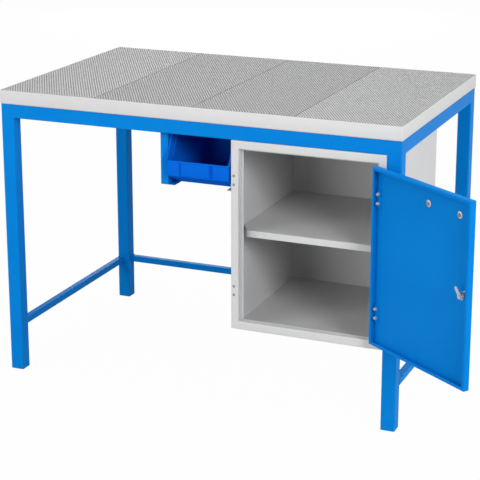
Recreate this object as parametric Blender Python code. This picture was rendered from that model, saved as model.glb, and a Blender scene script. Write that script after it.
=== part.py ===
"""Engine disassembly table: a welded tube frame that carries a drip tray under
four lift-out perforated panels, a storage bin on runners and a small cabinet
with one shelf and a lockable door that stands open.

Metres, +Z up. The origin is the middle of the table's footprint, on the floor.
+X is the table's long side, and the working side with the door faces -Y.
"""
import math

import bmesh
import bpy
from mathutils import Matrix, Vector

# Table, in metres
TABLE_WIDTH = 1.200
TABLE_DEPTH = 0.750
TABLE_HEIGHT = 0.850
FIT_GAP = 0.0003          # between pieces that touch
CUT_OVERRUN = 0.005       # by which a cutter passes the faces it opens

# Frame tubes
TUBE_SIZE = 0.040
TUBE_WALL = 0.002
TUBE_CORNER = 0.003
LOW_TUBE_SIZE = 0.020
LOW_TUBE_WALL = 0.0015
LOW_TUBE_CORNER = 0.002
LOW_RAIL_TOP = 0.140
FOOT_PLATE = 0.003
FRAME_INSET = 0.002       # the tray's rim stands past the frame by this

# Tray and its drain
RIM_HEIGHT = 0.040
TRAY_SHEET = 0.002
TRAY_CORNER = 0.002
DRAIN_FROM_SIDE = 0.064   # from the bin's right rim
DRAIN_FROM_FRONT = 0.169  # from the bin's front rim
SPOUT_OUTER = 0.0125
SPOUT_BORE = 0.0095
SPOUT_FLANGE = 0.020
SPOUT_FLANGE_HEIGHT = 0.0025
SPOUT_TIP_ABOVE_BIN = 0.006
SPOUT_NUT_RADIUS = 0.018
SPOUT_NUT_HEIGHT = 0.005

# Perforated panels
PANEL_COUNT = 4
PANEL_SHEET = 0.002
PANEL_EDGE = 0.014        # depth of the edges folded at the front and the back
PANEL_DRAIN = 0.045       # the side edges stop this short of the ends, for the oil
PANEL_PLAY = 0.0006       # between neighbouring panels and to the rim

# Cabinet
CABINET_WIDTH = 0.4397
CABINET_HEIGHT = 0.540
CABINET_DEPTH = 0.480
CABINET_SHEET = 0.0012
STILE = 0.022             # width of the face frame
SILL = 0.023
STOP_DEPTH = 0.020        # from the face to the door stop
STOP_LIP = 0.007
SHELF_TOP = 0.506
SHELF_SETBACK = 0.044     # from the cabinet's face
SHELF_LIP = 0.0186
SHELF_CORNER_X = 0.030    # the shelf's front corners are cut off
SHELF_CORNER_Y = 0.053
ANGLE_SIZE = 0.012
ANGLE_SHEET = 0.0015
ANGLE_INSET = 0.030       # from the shelf's side edges' ends

# Door, drawn closed here and turned to DOOR_OPEN at the end
DOOR_DEPTH = 0.018
DOOR_SHEET = 0.0012
DOOR_LIP = 0.009
DOOR_PLAY = 0.003
DOOR_OPEN = math.radians(145.0)

# Hinges
HINGE_RISE = 0.158        # above and below the cabinet's middle
HINGE_HEIGHT = 0.050
HINGE_SHEET = 0.002
HINGE_KNUCKLE = 0.0045
HINGE_PIN = 0.0025
HINGE_PIN_PLAY = 0.0003
HINGE_PIN_TIP = 0.0015    # the pin stands out of its knuckles by this
HINGE_AXIS_OUT = 0.006    # the pin is this far in front of the cabinet's face
HINGE_AXIS_SIDE = 0.002   # and this far past the opening's edge
LEAF_CLEAR = 0.0010       # between a leaf and the other leaf's knuckle
SCREW_PITCH = 0.025
STILE_SCREW_EDGE = 0.0085  # screw line from the cabinet's side
DOOR_SCREW_EDGE = 0.011   # screw line from the door's edge
LEAF_MARGIN = 0.0065      # leaf past its screw line
BACKING_SHEET = 0.003

# Lock
LOCK_EDGE = 0.0195        # from the door's free edge
LOCK_HEAD = 0.011
LOCK_HEAD_HEIGHT = 0.003
LOCK_BARREL = 0.009
LOCK_BORE = 0.006
LOCK_LENGTH = 0.0205      # barrel behind the door's face
LOCK_NUT = 0.013
LOCK_NUT_HEIGHT = 0.004
KEY_SLOT_LENGTH = 0.007
KEY_SLOT_WIDTH = 0.0015
KEY_SLOT_DEPTH = 0.002
CAM_HUB = 0.007
CAM_TIP = 0.0045
CAM_REACH = 0.024
CAM_SHEET = 0.002
CAM_PLAY = 0.0025         # between the barrel's end and the cam
CAM_ANGLE = math.radians(48.0)
CAM_SCREW_SEAT = 0.006

# Bow handle
HANDLE_SPACING = 0.120
HANDLE_EDGE = 0.0565      # nearer screw from the door's free edge
HANDLE_BELOW_TOP = 0.050
HANDLE_ROD = 0.005
HANDLE_REACH = 0.032
HANDLE_BEND = 0.012
HANDLE_BORE_DEPTH = 0.010

# Storage bin, and the runners that carry it
BIN_WIDTH = 0.192
BIN_DEPTH = 0.300
BIN_HEIGHT = 0.1447
BIN_WALL = 0.0025
BIN_RIM = 0.006           # the rim stands past the walls by this
BIN_RIM_HEIGHT = 0.005
BIN_FRONT_OUT = 0.006     # the front rim stands past the frame's face
BIN_FRONT_HEIGHT = 0.0745
BIN_FRONT_WALL_BOTTOM = 0.030
BIN_BASE_BACK = 0.064     # the base starts this far behind the rim
BIN_BASE_TAPER = 0.0025
BIN_SLOPE_RUN = 0.041
BIN_REAR_TAPER = 0.006
RUNNER_SHEET = 0.002
RUNNER_FACE = 0.020
RUNNER_LEDGE = 0.020
RUNNER_DROP = 0.151
RUNNER_SIDE_HEIGHT = 0.040
RUNNER_FRONT_SETBACK = 0.020
RUNNER_PLAY = 0.00175     # between the bin's rim and the runners
BIN_STOP_HEIGHT = 0.016
BIN_STOP_PLAY = 0.001

# Fasteners
BOLT_RADIUS = 0.003
BOLT_HEAD = 0.0055
BOLT_HEAD_HEIGHT = 0.0035
BOLT_REACH = 0.004        # past the wall that the bolt goes through
SCREW_RADIUS = 0.002
SCREW_HEAD = 0.0038
SCREW_HEAD_HEIGHT = 0.0022
HOLE_PLAY = 0.0003
CABINET_BOLT_SIDE = 0.040
CABINET_BOLT_BACK = 0.010  # from the front rail's middle

ROUND_SIDES = 16
FINE_SIDES = 24
HEX_SIDES = 6
CORNER_STEPS = 2

# Places that follow from the sizes above
FRAME_X = TABLE_WIDTH / 2 - FRAME_INSET
FRAME_Y = TABLE_DEPTH / 2 - FRAME_INSET
RAIL_TOP = TABLE_HEIGHT - RIM_HEIGHT
RAIL_BOTTOM = RAIL_TOP - TUBE_SIZE
TRAY_FLOOR = RAIL_TOP + TRAY_SHEET
FACE_Y = -FRAME_Y
CABINET_RIGHT = FRAME_X - TUBE_SIZE - FIT_GAP
CABINET_LEFT = CABINET_RIGHT - CABINET_WIDTH
CABINET_TOP = RAIL_BOTTOM - FIT_GAP
CABINET_BOTTOM = CABINET_TOP - CABINET_HEIGHT
CABINET_BACK = FACE_Y + CABINET_DEPTH
CABINET_MIDDLE = (CABINET_TOP + CABINET_BOTTOM) / 2
FRAME_BACK = FACE_Y + STOP_DEPTH + CABINET_SHEET
OPENING_LEFT = CABINET_LEFT + STILE
OPENING_RIGHT = CABINET_RIGHT - STILE
OPENING_TOP = CABINET_TOP - SILL
OPENING_BOTTOM = CABINET_BOTTOM + SILL
DOOR_LEFT = OPENING_LEFT + DOOR_PLAY
DOOR_RIGHT = OPENING_RIGHT - DOOR_PLAY
DOOR_TOP = OPENING_TOP - DOOR_PLAY
DOOR_BOTTOM = OPENING_BOTTOM + DOOR_PLAY
DOOR_BACK = FACE_Y + DOOR_DEPTH
SHEET_BACK = FACE_Y + DOOR_SHEET
PIN_X = OPENING_RIGHT + HINGE_AXIS_SIDE
PIN_Y = FACE_Y - HINGE_AXIS_OUT
HINGE_LEVELS = (CABINET_MIDDLE + HINGE_RISE, CABINET_MIDDLE - HINGE_RISE)
STILE_SCREW_X = CABINET_RIGHT - STILE_SCREW_EDGE
DOOR_SCREW_X = DOOR_RIGHT - DOOR_SCREW_EDGE
LOCK_X = DOOR_LEFT + LOCK_EDGE
LOCK_Z = CABINET_MIDDLE
CAM_FRONT = FACE_Y + LOCK_LENGTH + CAM_PLAY
MIDDLE_RAIL_FRONT = CABINET_BACK - TUBE_SIZE / 2
FRONT_RAIL_MIDDLE = FACE_Y + TUBE_SIZE / 2
RIGHT_WEB = CABINET_LEFT - FIT_GAP - RUNNER_SHEET
BIN_RIGHT = RIGHT_WEB - RUNNER_PLAY
BIN_LEFT = BIN_RIGHT - BIN_WIDTH
BIN_FRONT = FACE_Y - BIN_FRONT_OUT
BIN_BACK = BIN_FRONT + BIN_DEPTH
RUNNER_FRONT = FACE_Y + RUNNER_FRONT_SETBACK
RUNNER_BOTTOM = RAIL_BOTTOM - RUNNER_DROP
BIN_BOTTOM = RUNNER_BOTTOM + RUNNER_SHEET + FIT_GAP
BIN_TOP = BIN_BOTTOM + BIN_HEIGHT
LEFT_WEB = BIN_LEFT - RUNNER_PLAY
DRAIN_X = BIN_RIGHT - DRAIN_FROM_SIDE
DRAIN_Y = BIN_FRONT + DRAIN_FROM_FRONT
DRAIN_HOLE = SPOUT_OUTER + HOLE_PLAY

# Local axes of an outline drawn from the side (y, z) or from the front (x, z)
FROM_SIDE = Matrix(((0, 0, 1), (1, 0, 0), (0, 1, 0))).to_4x4()
FROM_FRONT = Matrix(((1, 0, 0), (0, 0, -1), (0, 1, 0))).to_4x4()


def collection(name):
    group = bpy.data.collections.new(name)
    bpy.context.scene.collection.children.link(group)
    return group


def material(name, colour, roughness, metallic):
    finish = bpy.data.materials.new(name)
    finish.use_nodes = True
    shader = finish.node_tree.nodes["Principled BSDF"]
    shader.inputs["Base Color"].default_value = (*colour, 1.0)
    shader.inputs["Roughness"].default_value = roughness
    shader.inputs["Metallic"].default_value = metallic
    return finish


for old in list(bpy.data.objects):
    bpy.data.objects.remove(old)

PARTS = collection("engine_disassembly_table")
CUTTERS = collection("cutters")
BLUE = material("blue_powder_coat", (0.008, 0.216, 0.672), 0.35, 0.0)
GREY = material("light_grey_powder_coat", (0.70, 0.70, 0.70), 0.40, 0.0)
BARE = material("galvanised_steel", (0.42, 0.42, 0.43), 0.40, 0.9)
ZINC = material("bright_zinc", (0.72, 0.72, 0.74), 0.25, 1.0)
BIN_BLUE = material("blue_polypropylene", (0.004, 0.120, 0.680), 0.35, 0.0)
BLACK = material("black_plastic", (0.02, 0.02, 0.02), 0.45, 0.0)


# Helpers that add, cut and join shapes

def add_object(name, mesh, finish):
    """A new part, or a hidden tool where no finish is given."""
    body = bpy.data.objects.new(name, mesh)
    if finish is None:
        CUTTERS.objects.link(body)
        body.hide_render = True
        body.display_type = "WIRE"
    else:
        PARTS.objects.link(body)
        mesh.materials.append(finish)
    return body


def box(name, low, high, finish=None, corner=0.0, along="z"):
    """A box between two corners, with its edges along one axis rounded."""
    low, high = Vector(low), Vector(high)
    shape = bmesh.new()
    bmesh.ops.create_cube(shape, size=1.0)
    bmesh.ops.scale(shape, vec=high - low, verts=shape.verts)
    if corner > 0:
        axis = "xyz".index(along)
        edges = []
        for edge in shape.edges:
            run = edge.verts[1].co - edge.verts[0].co
            if abs(run[axis]) > run.length / 2:
                edges.append(edge)
        bmesh.ops.bevel(shape, geom=edges, offset=corner, segments=CORNER_STEPS,
                        profile=0.5, affect="EDGES")
    mesh = bpy.data.meshes.new(name)
    shape.to_mesh(mesh)
    shape.free()
    body = add_object(name, mesh, finish)
    body.location = (low + high) / 2
    return body


def cylinder(name, start, end, radius, finish=None, sides=ROUND_SIDES):
    """A round bar, or a hexagon where six sides are asked for."""
    start, end = Vector(start), Vector(end)
    shape = bmesh.new()
    bmesh.ops.create_cone(shape, cap_ends=True, segments=sides, radius1=radius,
                          radius2=radius, depth=(end - start).length)
    mesh = bpy.data.meshes.new(name)
    shape.to_mesh(mesh)
    shape.free()
    if sides > HEX_SIDES:
        mesh.shade_smooth()
        mesh.set_sharp_from_angle(angle=math.radians(40.0))
    body = add_object(name, mesh, finish)
    body.location = (start + end) / 2
    body.rotation_mode = "QUATERNION"
    body.rotation_quaternion = (end - start).to_track_quat("Z", "Y")
    return body


def curve_to_mesh(name, curve, place, finish):
    """Makes a mesh object of a curve, welds its caps and removes the curve."""
    guide = bpy.data.objects.new(name + "_curve", curve)
    CUTTERS.objects.link(guide)
    guide.matrix_world = place
    bpy.context.view_layer.update()
    seen = guide.evaluated_get(bpy.context.evaluated_depsgraph_get())
    mesh = bpy.data.meshes.new_from_object(seen)
    mesh.name = name
    shape = bmesh.new()
    shape.from_mesh(mesh)
    bmesh.ops.remove_doubles(shape, verts=shape.verts, dist=FIT_GAP / 10)
    shape.to_mesh(mesh)
    shape.free()
    mesh.materials.clear()
    body = add_object(name, mesh, finish)
    body.matrix_world = place
    bpy.data.objects.remove(guide)
    return body


def plate(name, outline, thickness, view, centre, finish=None):
    """A flat outline made thick, seen from the side or from the front."""
    curve = bpy.data.curves.new(name, "CURVE")
    curve.dimensions = "2D"
    curve.fill_mode = "BOTH"
    curve.extrude = thickness / 2
    spline = curve.splines.new("POLY")
    spline.points.add(len(outline) - 1)
    for point, (across, up) in zip(spline.points, outline):
        point.co = (across, up, 0, 1)
    spline.use_cyclic_u = True
    return curve_to_mesh(name, curve, Matrix.Translation(centre) @ view, finish)


def boolean(body, tool, operation):
    modifier = body.modifiers.new(tool.name, "BOOLEAN")
    modifier.operation = operation
    modifier.object = tool
    return body


def cut(body, *tools):
    for tool in tools:
        boolean(body, tool, "DIFFERENCE")
    return body


def join(body, *tools):
    for tool in tools:
        boolean(body, tool, "UNION")
    return body


def drill(body, middle, axis, radius, depth):
    """Cuts a round hole that runs depth each way from a middle point."""
    run = Vector(axis) * depth
    name = body.name + "_hole"
    return cut(body, cylinder(name, Vector(middle) - run, Vector(middle) + run, radius))


def tube(name, low, high, along, wall, corner, closed=0.0):
    """A square tube between two corners of its outside. Its low end is open, or
    closed by a welded plate of a given thickness."""
    body = box(name, low, high, BLUE, corner, along)
    axis = "xyz".index(along)
    inner_low = [value + wall for value in low]
    inner_high = [value - wall for value in high]
    inner_low[axis] = low[axis] + (closed if closed > 0 else -CUT_OVERRUN)
    inner_high[axis] = high[axis] + CUT_OVERRUN
    return cut(body, box(name + "_bore", inner_low, inner_high, None, corner / 2, along))


# Frame

def build_legs():
    """Four square legs, each closed at the floor by a welded plate."""
    for side_x, across in ((-1, "left"), (1, "right")):
        for side_y, along in ((-1, "front"), (1, "rear")):
            xs = sorted((side_x * FRAME_X, side_x * (FRAME_X - TUBE_SIZE)))
            ys = sorted((side_y * FRAME_Y, side_y * (FRAME_Y - TUBE_SIZE)))
            tube(f"leg_{along}_{across}", (xs[0], ys[0], 0), (xs[1], ys[1], RAIL_TOP - FIT_GAP),
                 "z", TUBE_WALL, TUBE_CORNER, FOOT_PLATE)


def build_top_rails():
    """Four rails flush with the legs, and a hidden one that carries the cabinet's back."""
    inner_x = FRAME_X - TUBE_SIZE - FIT_GAP
    inner_y = FRAME_Y - TUBE_SIZE - FIT_GAP
    rail_high = RAIL_TOP - FIT_GAP
    rails = {
        "front_rail": (-inner_x, -FRAME_Y, inner_x, -FRAME_Y + TUBE_SIZE, "x"),
        "rear_rail": (-inner_x, FRAME_Y - TUBE_SIZE, inner_x, FRAME_Y, "x"),
        "middle_rail": (-inner_x, MIDDLE_RAIL_FRONT, inner_x, MIDDLE_RAIL_FRONT + TUBE_SIZE, "x"),
        "left_rail": (-FRAME_X, -inner_y, -FRAME_X + TUBE_SIZE, inner_y, "y"),
        "right_rail": (FRAME_X - TUBE_SIZE, -inner_y, FRAME_X, inner_y, "y"),
    }
    return {name: tube(name, (x0, y0, RAIL_BOTTOM), (x1, y1, rail_high), along,
                       TUBE_WALL, TUBE_CORNER)
            for name, (x0, y0, x1, y1, along) in rails.items()}


def build_low_rails():
    """Thin rails between the legs at both ends and at the rear."""
    inner_x = FRAME_X - TUBE_SIZE - FIT_GAP
    inner_y = FRAME_Y - TUBE_SIZE - FIT_GAP
    rails = {
        "low_rail_left": (-FRAME_X, -inner_y, -FRAME_X + LOW_TUBE_SIZE, inner_y, "y"),
        "low_rail_right": (FRAME_X - LOW_TUBE_SIZE, -inner_y, FRAME_X, inner_y, "y"),
        "low_rail_rear": (-inner_x, FRAME_Y - LOW_TUBE_SIZE, inner_x, FRAME_Y, "x"),
    }
    for name, (x0, y0, x1, y1, along) in rails.items():
        tube(name, (x0, y0, LOW_RAIL_TOP - LOW_TUBE_SIZE), (x1, y1, LOW_RAIL_TOP), along,
             LOW_TUBE_WALL, LOW_TUBE_CORNER)


# Tray, drain and perforated panels

def build_tray():
    """A folded tray, welded on the rails, with a drain hole above the bin."""
    half_x, half_y = TABLE_WIDTH / 2, TABLE_DEPTH / 2
    tray = box("tray", (-half_x, -half_y, RAIL_TOP), (half_x, half_y, TABLE_HEIGHT),
               GREY, TRAY_CORNER)
    cut(tray, box("tray_pocket",
                  (TRAY_SHEET - half_x, TRAY_SHEET - half_y, TRAY_FLOOR),
                  (half_x - TRAY_SHEET, half_y - TRAY_SHEET, TABLE_HEIGHT + CUT_OVERRUN)))
    drill(tray, (DRAIN_X, DRAIN_Y, RAIL_TOP), (0, 0, 1), DRAIN_HOLE, CUT_OVERRUN)


def bolt(name, seat, tip, head, radius, head_radius, sides=HEX_SIDES):
    """A shank from its seat to its tip, with a head on the other side of the seat."""
    shank_start = (Vector(seat) + Vector(head)) / 2
    shank = cylinder(name, shank_start, tip, radius, ZINC)
    return join(shank, cylinder(name + "_head", seat, head, head_radius, None, sides))


def build_drain():
    """A flanged spout through the tray's floor, with the nut that clamps it."""
    top = TRAY_FLOOR + FIT_GAP + SPOUT_FLANGE_HEIGHT
    tip = BIN_TOP + SPOUT_TIP_ABOVE_BIN
    centre = Vector((DRAIN_X, DRAIN_Y, 0))
    up = Vector((0, 0, 1))
    spout = cylinder("drain_spout", centre + up * tip, centre + up * top,
                     SPOUT_OUTER, ZINC, FINE_SIDES)
    join(spout, cylinder("spout_flange", centre + up * (TRAY_FLOOR + FIT_GAP),
                         centre + up * top, SPOUT_FLANGE, None, FINE_SIDES))
    drill(spout, centre + up * (tip + top) / 2, up, SPOUT_BORE, top - tip)
    nut_top = RAIL_TOP - FIT_GAP
    nut = cylinder("spout_nut", centre + up * (nut_top - SPOUT_NUT_HEIGHT), centre + up * nut_top,
                   SPOUT_NUT_RADIUS, ZINC, HEX_SIDES)
    drill(nut, centre + up * nut_top, up, SPOUT_OUTER + HOLE_PLAY, 2 * SPOUT_NUT_HEIGHT)


def build_panels():
    """Lift-out panels that stand on their folded sides, with room at both ends for the
    oil to pass. Their holes are too fine for this model."""
    inside_x = TABLE_WIDTH - 2 * TRAY_SHEET
    pitch = inside_x / PANEL_COUNT
    half_y = TABLE_DEPTH / 2 - TRAY_SHEET - PANEL_PLAY / 2
    foot = TRAY_FLOOR + FIT_GAP
    edge = TABLE_HEIGHT - PANEL_EDGE
    for index in range(PANEL_COUNT):
        left = -inside_x / 2 + index * pitch + PANEL_PLAY / 2
        right = left + pitch - PANEL_PLAY
        panel = box(f"panel_{index + 1}", (left, -half_y, foot), (right, half_y, TABLE_HEIGHT), BARE)
        cut(panel, box("panel_pocket",
                       (left + PANEL_SHEET, PANEL_SHEET - half_y, foot - CUT_OVERRUN),
                       (right - PANEL_SHEET, half_y - PANEL_SHEET, TABLE_HEIGHT - PANEL_SHEET)))
        for side in (-1, 1):
            ys = sorted((side * (half_y - PANEL_DRAIN), side * (half_y + CUT_OVERRUN)))
            cut(panel, box("panel_drain", (left - CUT_OVERRUN, ys[0], foot - CUT_OVERRUN),
                           (right + CUT_OVERRUN, ys[1], edge)))


# Storage bin and its runners

def build_bin():
    """An open-fronted stacking bin: sloping side rims and a base set back for the hand."""
    front, back, floor, top = BIN_FRONT, BIN_BACK, BIN_BOTTOM, BIN_TOP
    wall_front = front + BIN_FRONT_OUT
    rim_front = floor + BIN_FRONT_HEIGHT
    rim_back = front + BIN_SLOPE_RUN
    wall_low = floor + BIN_FRONT_WALL_BOTTOM
    base_front = front + BIN_BASE_BACK
    base_back = back - BIN_REAR_TAPER
    middle = ((BIN_LEFT + BIN_RIGHT) / 2, 0, 0)
    outside = [(wall_front, wall_low), (base_front, floor), (base_back, floor), (back, top),
               (rim_back, top), (wall_front, rim_front)]
    body = plate("bin", outside, BIN_WIDTH - 2 * BIN_RIM, FROM_SIDE, middle, BIN_BLUE)
    rim = [(front, rim_front - BIN_RIM_HEIGHT), (wall_front, rim_front - BIN_RIM_HEIGHT),
           (rim_back + BIN_RIM_HEIGHT, top - BIN_RIM_HEIGHT), (back, top - BIN_RIM_HEIGHT),
           (back, top), (rim_back, top), (front, rim_front)]
    join(body, plate("bin_rim", rim, BIN_WIDTH, FROM_SIDE, middle))
    wall = BIN_WALL
    inside = [(wall_front + wall, wall_low + wall), (base_front + wall, floor + wall),
              (base_back - wall, floor + wall), (back - wall, top),
              (back - wall, top + CUT_OVERRUN), (wall_front + wall, top + CUT_OVERRUN)]
    width = BIN_WIDTH - 2 * BIN_RIM - 2 * wall
    cut(body, plate("bin_pocket", inside, width, FROM_SIDE, middle))
    notch_depth = BIN_FRONT_WALL_BOTTOM
    for side, edge in ((-1, BIN_LEFT), (1, BIN_RIGHT)):
        outer = edge - side * BIN_RIM
        xs = sorted((outer - side * BIN_BASE_TAPER, outer + side * CUT_OVERRUN))
        cut(body, box("bin_base_step",
                      (xs[0], front - CUT_OVERRUN, floor - CUT_OVERRUN),
                      (xs[1], back + CUT_OVERRUN, floor + notch_depth / 2)))


def build_runners():
    """A folded hanger welded under the rails, and an angle welded on the cabinet's side."""
    low, ledge_top = RUNNER_BOTTOM, RUNNER_BOTTOM + RUNNER_SHEET
    hanger_top = RAIL_BOTTOM - FIT_GAP
    back = MIDDLE_RAIL_FRONT + TUBE_SIZE
    web_left = LEFT_WEB - RUNNER_SHEET
    face_left = web_left - RUNNER_FACE
    section = [(face_left, hanger_top), (LEFT_WEB, hanger_top), (LEFT_WEB, ledge_top),
               (LEFT_WEB + RUNNER_LEDGE, ledge_top), (LEFT_WEB + RUNNER_LEDGE, low),
               (web_left, low), (web_left, hanger_top - RUNNER_SHEET),
               (face_left, hanger_top - RUNNER_SHEET)]
    left = plate("runner_left", section, back - RUNNER_FRONT, FROM_FRONT,
                 (0, (RUNNER_FRONT + back) / 2, 0), BLUE)
    join(left, box("runner_face", (face_left, RUNNER_FRONT, low),
                   (LEFT_WEB, RUNNER_FRONT + RUNNER_SHEET, hanger_top)))
    right_section = [(RIGHT_WEB, low + RUNNER_SIDE_HEIGHT), (RIGHT_WEB, ledge_top),
                     (RIGHT_WEB - RUNNER_LEDGE, ledge_top), (RIGHT_WEB - RUNNER_LEDGE, low),
                     (CABINET_LEFT - FIT_GAP, low),
                     (CABINET_LEFT - FIT_GAP, low + RUNNER_SIDE_HEIGHT)]
    right_front, right_back = FRAME_BACK + RUNNER_SHEET, CABINET_BACK
    right = plate("runner_right", right_section, right_back - right_front, FROM_FRONT,
                  (0, (right_front + right_back) / 2, 0), GREY)
    stop_front = BIN_BACK + BIN_STOP_PLAY
    for body, x0, x1 in ((left, LEFT_WEB - RUNNER_SHEET / 2, LEFT_WEB + RUNNER_LEDGE),
                         (right, RIGHT_WEB - RUNNER_LEDGE, RIGHT_WEB + RUNNER_SHEET / 4)):
        join(body, box("bin_stop", (x0, stop_front, low + RUNNER_SHEET / 2),
                       (x1, stop_front + RUNNER_SHEET, low + BIN_STOP_HEIGHT)))


# Cabinet

def build_front_frame():
    """A folded face frame: stiles, head and sill, each with a return and a stop lip. The
    left stile has the holes for hinges on that side."""
    sheet = CABINET_SHEET
    low = Vector((CABINET_LEFT, FACE_Y, CABINET_BOTTOM))
    high = Vector((CABINET_RIGHT, FRAME_BACK, CABINET_TOP))
    frame = box("cabinet_front_frame", low, high, GREY)
    stop = FACE_Y + STOP_DEPTH
    cut(frame,
        box("frame_opening", (OPENING_LEFT, FACE_Y - CUT_OVERRUN, OPENING_BOTTOM),
            (OPENING_RIGHT, stop, OPENING_TOP)),
        box("frame_stop", (OPENING_LEFT + STOP_LIP, FACE_Y, OPENING_BOTTOM + STOP_LIP),
            (OPENING_RIGHT - STOP_LIP, FRAME_BACK + CUT_OVERRUN, OPENING_TOP - STOP_LIP)))
    face_back, open_back = FACE_Y + sheet, FRAME_BACK + CUT_OVERRUN
    bars = {
        "left": (low.x + sheet, low.z + sheet, OPENING_LEFT - sheet, high.z - sheet),
        "right": (OPENING_RIGHT + sheet, low.z + sheet, high.x - sheet, high.z - sheet),
        "top": (low.x + sheet, OPENING_TOP + sheet, high.x - sheet, high.z - sheet),
        "bottom": (low.x + sheet, low.z + sheet, high.x - sheet, OPENING_BOTTOM - sheet),
    }
    for side, (x0, z0, x1, z1) in bars.items():
        cut(frame, box("frame_channel_" + side, (x0, face_back, z0), (x1, open_back, z1)))
    for level in HINGE_LEVELS:
        for rise in (-SCREW_PITCH / 2, SCREW_PITCH / 2):
            drill(frame, (CABINET_LEFT + STILE_SCREW_EDGE, FACE_Y, level + rise), (0, 1, 0),
                  SCREW_RADIUS + HOLE_PLAY, CUT_OVERRUN)
    return frame


def build_carcass(rails):
    """Sides, back, top and bottom sheets, and the bolts that hang them from the rails."""
    sheet, gap = CABINET_SHEET, FIT_GAP
    x0, x1 = CABINET_LEFT, CABINET_RIGHT
    y0, y1 = FRAME_BACK + gap, CABINET_BACK
    z0, z1 = CABINET_BOTTOM, CABINET_TOP
    inner_x0, inner_x1 = x0 + sheet + gap, x1 - sheet - gap
    box("cabinet_side_left", (x0, y0, z0), (x0 + sheet, y1, z1), GREY)
    box("cabinet_side_right", (x1 - sheet, y0, z0), (x1, y1, z1), GREY)
    box("cabinet_back", (inner_x0, y1 - sheet, z0), (inner_x1, y1, z1), GREY)
    back = y1 - sheet - gap
    top = box("cabinet_top", (inner_x0, y0, z1 - sheet), (inner_x1, back, z1), GREY)
    box("cabinet_bottom", (inner_x0, y0, z0), (inner_x1, back, z0 + sheet), GREY)
    hole = BOLT_RADIUS + HOLE_PLAY
    seat = z1 - sheet - gap
    tip = RAIL_BOTTOM + TUBE_WALL + BOLT_REACH
    for rail, row, y in (("front_rail", "front", FRONT_RAIL_MIDDLE + CABINET_BOLT_BACK),
                         ("middle_rail", "rear", CABINET_BACK - CABINET_BOLT_BACK)):
        for side, x in (("left", x0 + CABINET_BOLT_SIDE), ("right", x1 - CABINET_BOLT_SIDE)):
            bolt(f"cabinet_bolt_{row}_{side}", (x, y, seat), (x, y, tip),
                 (x, y, seat - BOLT_HEAD_HEIGHT), BOLT_RADIUS, BOLT_HEAD)
            drill(top, (x, y, z1), (0, 0, 1), hole, CUT_OVERRUN)
            drill(rails[rail], (x, y, RAIL_BOTTOM), (0, 0, 1), hole, CUT_OVERRUN)


def build_shelf():
    """A folded shelf with its front corners cut off, on an angle welded to each side."""
    sheet, gap = CABINET_SHEET, FIT_GAP
    x0, x1 = CABINET_LEFT + sheet + gap, CABINET_RIGHT - sheet - gap
    y0, y1 = FACE_Y + SHELF_SETBACK, CABINET_BACK - sheet - gap
    low = SHELF_TOP - SHELF_LIP
    corner_x, corner_y = SHELF_CORNER_X, SHELF_CORNER_Y

    def deck(inset, front_inset):
        """The shelf's outline from above, drawn smaller for the pocket below."""
        return [(x0 + corner_x + inset, y0 + front_inset), (x1 - corner_x - inset, y0 + front_inset),
                (x1 - inset, y0 + corner_y + front_inset), (x1 - inset, y1 - front_inset),
                (x0 + inset, y1 - front_inset), (x0 + inset, y0 + corner_y + front_inset)]

    shelf = plate("shelf", deck(0.0, 0.0), SHELF_LIP, Matrix(), (0, 0, SHELF_TOP - SHELF_LIP / 2), GREY)
    pocket_low, pocket_high = low - CUT_OVERRUN, SHELF_TOP - sheet
    cut(shelf, plate("shelf_pocket", deck(sheet, sheet), pocket_high - pocket_low, Matrix(),
                     (0, 0, (pocket_low + pocket_high) / 2)))
    top = low - gap
    front, back = y0 + corner_y + ANGLE_INSET, y1 - ANGLE_INSET
    middle = (0, (front + back) / 2, 0)
    for name, wall, side in (("left", x0, 1), ("right", x1, -1)):
        reach, web = wall + side * ANGLE_SIZE, wall + side * ANGLE_SHEET
        section = [(wall, top - ANGLE_SIZE), (web, top - ANGLE_SIZE), (web, top - ANGLE_SHEET),
                   (reach, top - ANGLE_SHEET), (reach, top), (wall, top)]
        plate(f"shelf_angle_{name}", section, back - front, FROM_FRONT, middle, GREY)


# Door, hinges, lock and handle

def build_door():
    """A folded pan: a face sheet, four flanges and a narrow lip along each flange."""
    sheet = DOOR_SHEET
    door = box("door", (DOOR_LEFT, FACE_Y, DOOR_BOTTOM), (DOOR_RIGHT, DOOR_BACK, DOOR_TOP), BLUE)
    cut(door,
        box("door_pocket", (DOOR_LEFT + sheet, SHEET_BACK, DOOR_BOTTOM + sheet),
            (DOOR_RIGHT - sheet, DOOR_BACK - sheet, DOOR_TOP - sheet)),
        box("door_mouth", (DOOR_LEFT + DOOR_LIP, SHEET_BACK + sheet, DOOR_BOTTOM + DOOR_LIP),
            (DOOR_RIGHT - DOOR_LIP, DOOR_BACK + CUT_OVERRUN, DOOR_TOP - DOOR_LIP)))
    return door


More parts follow.
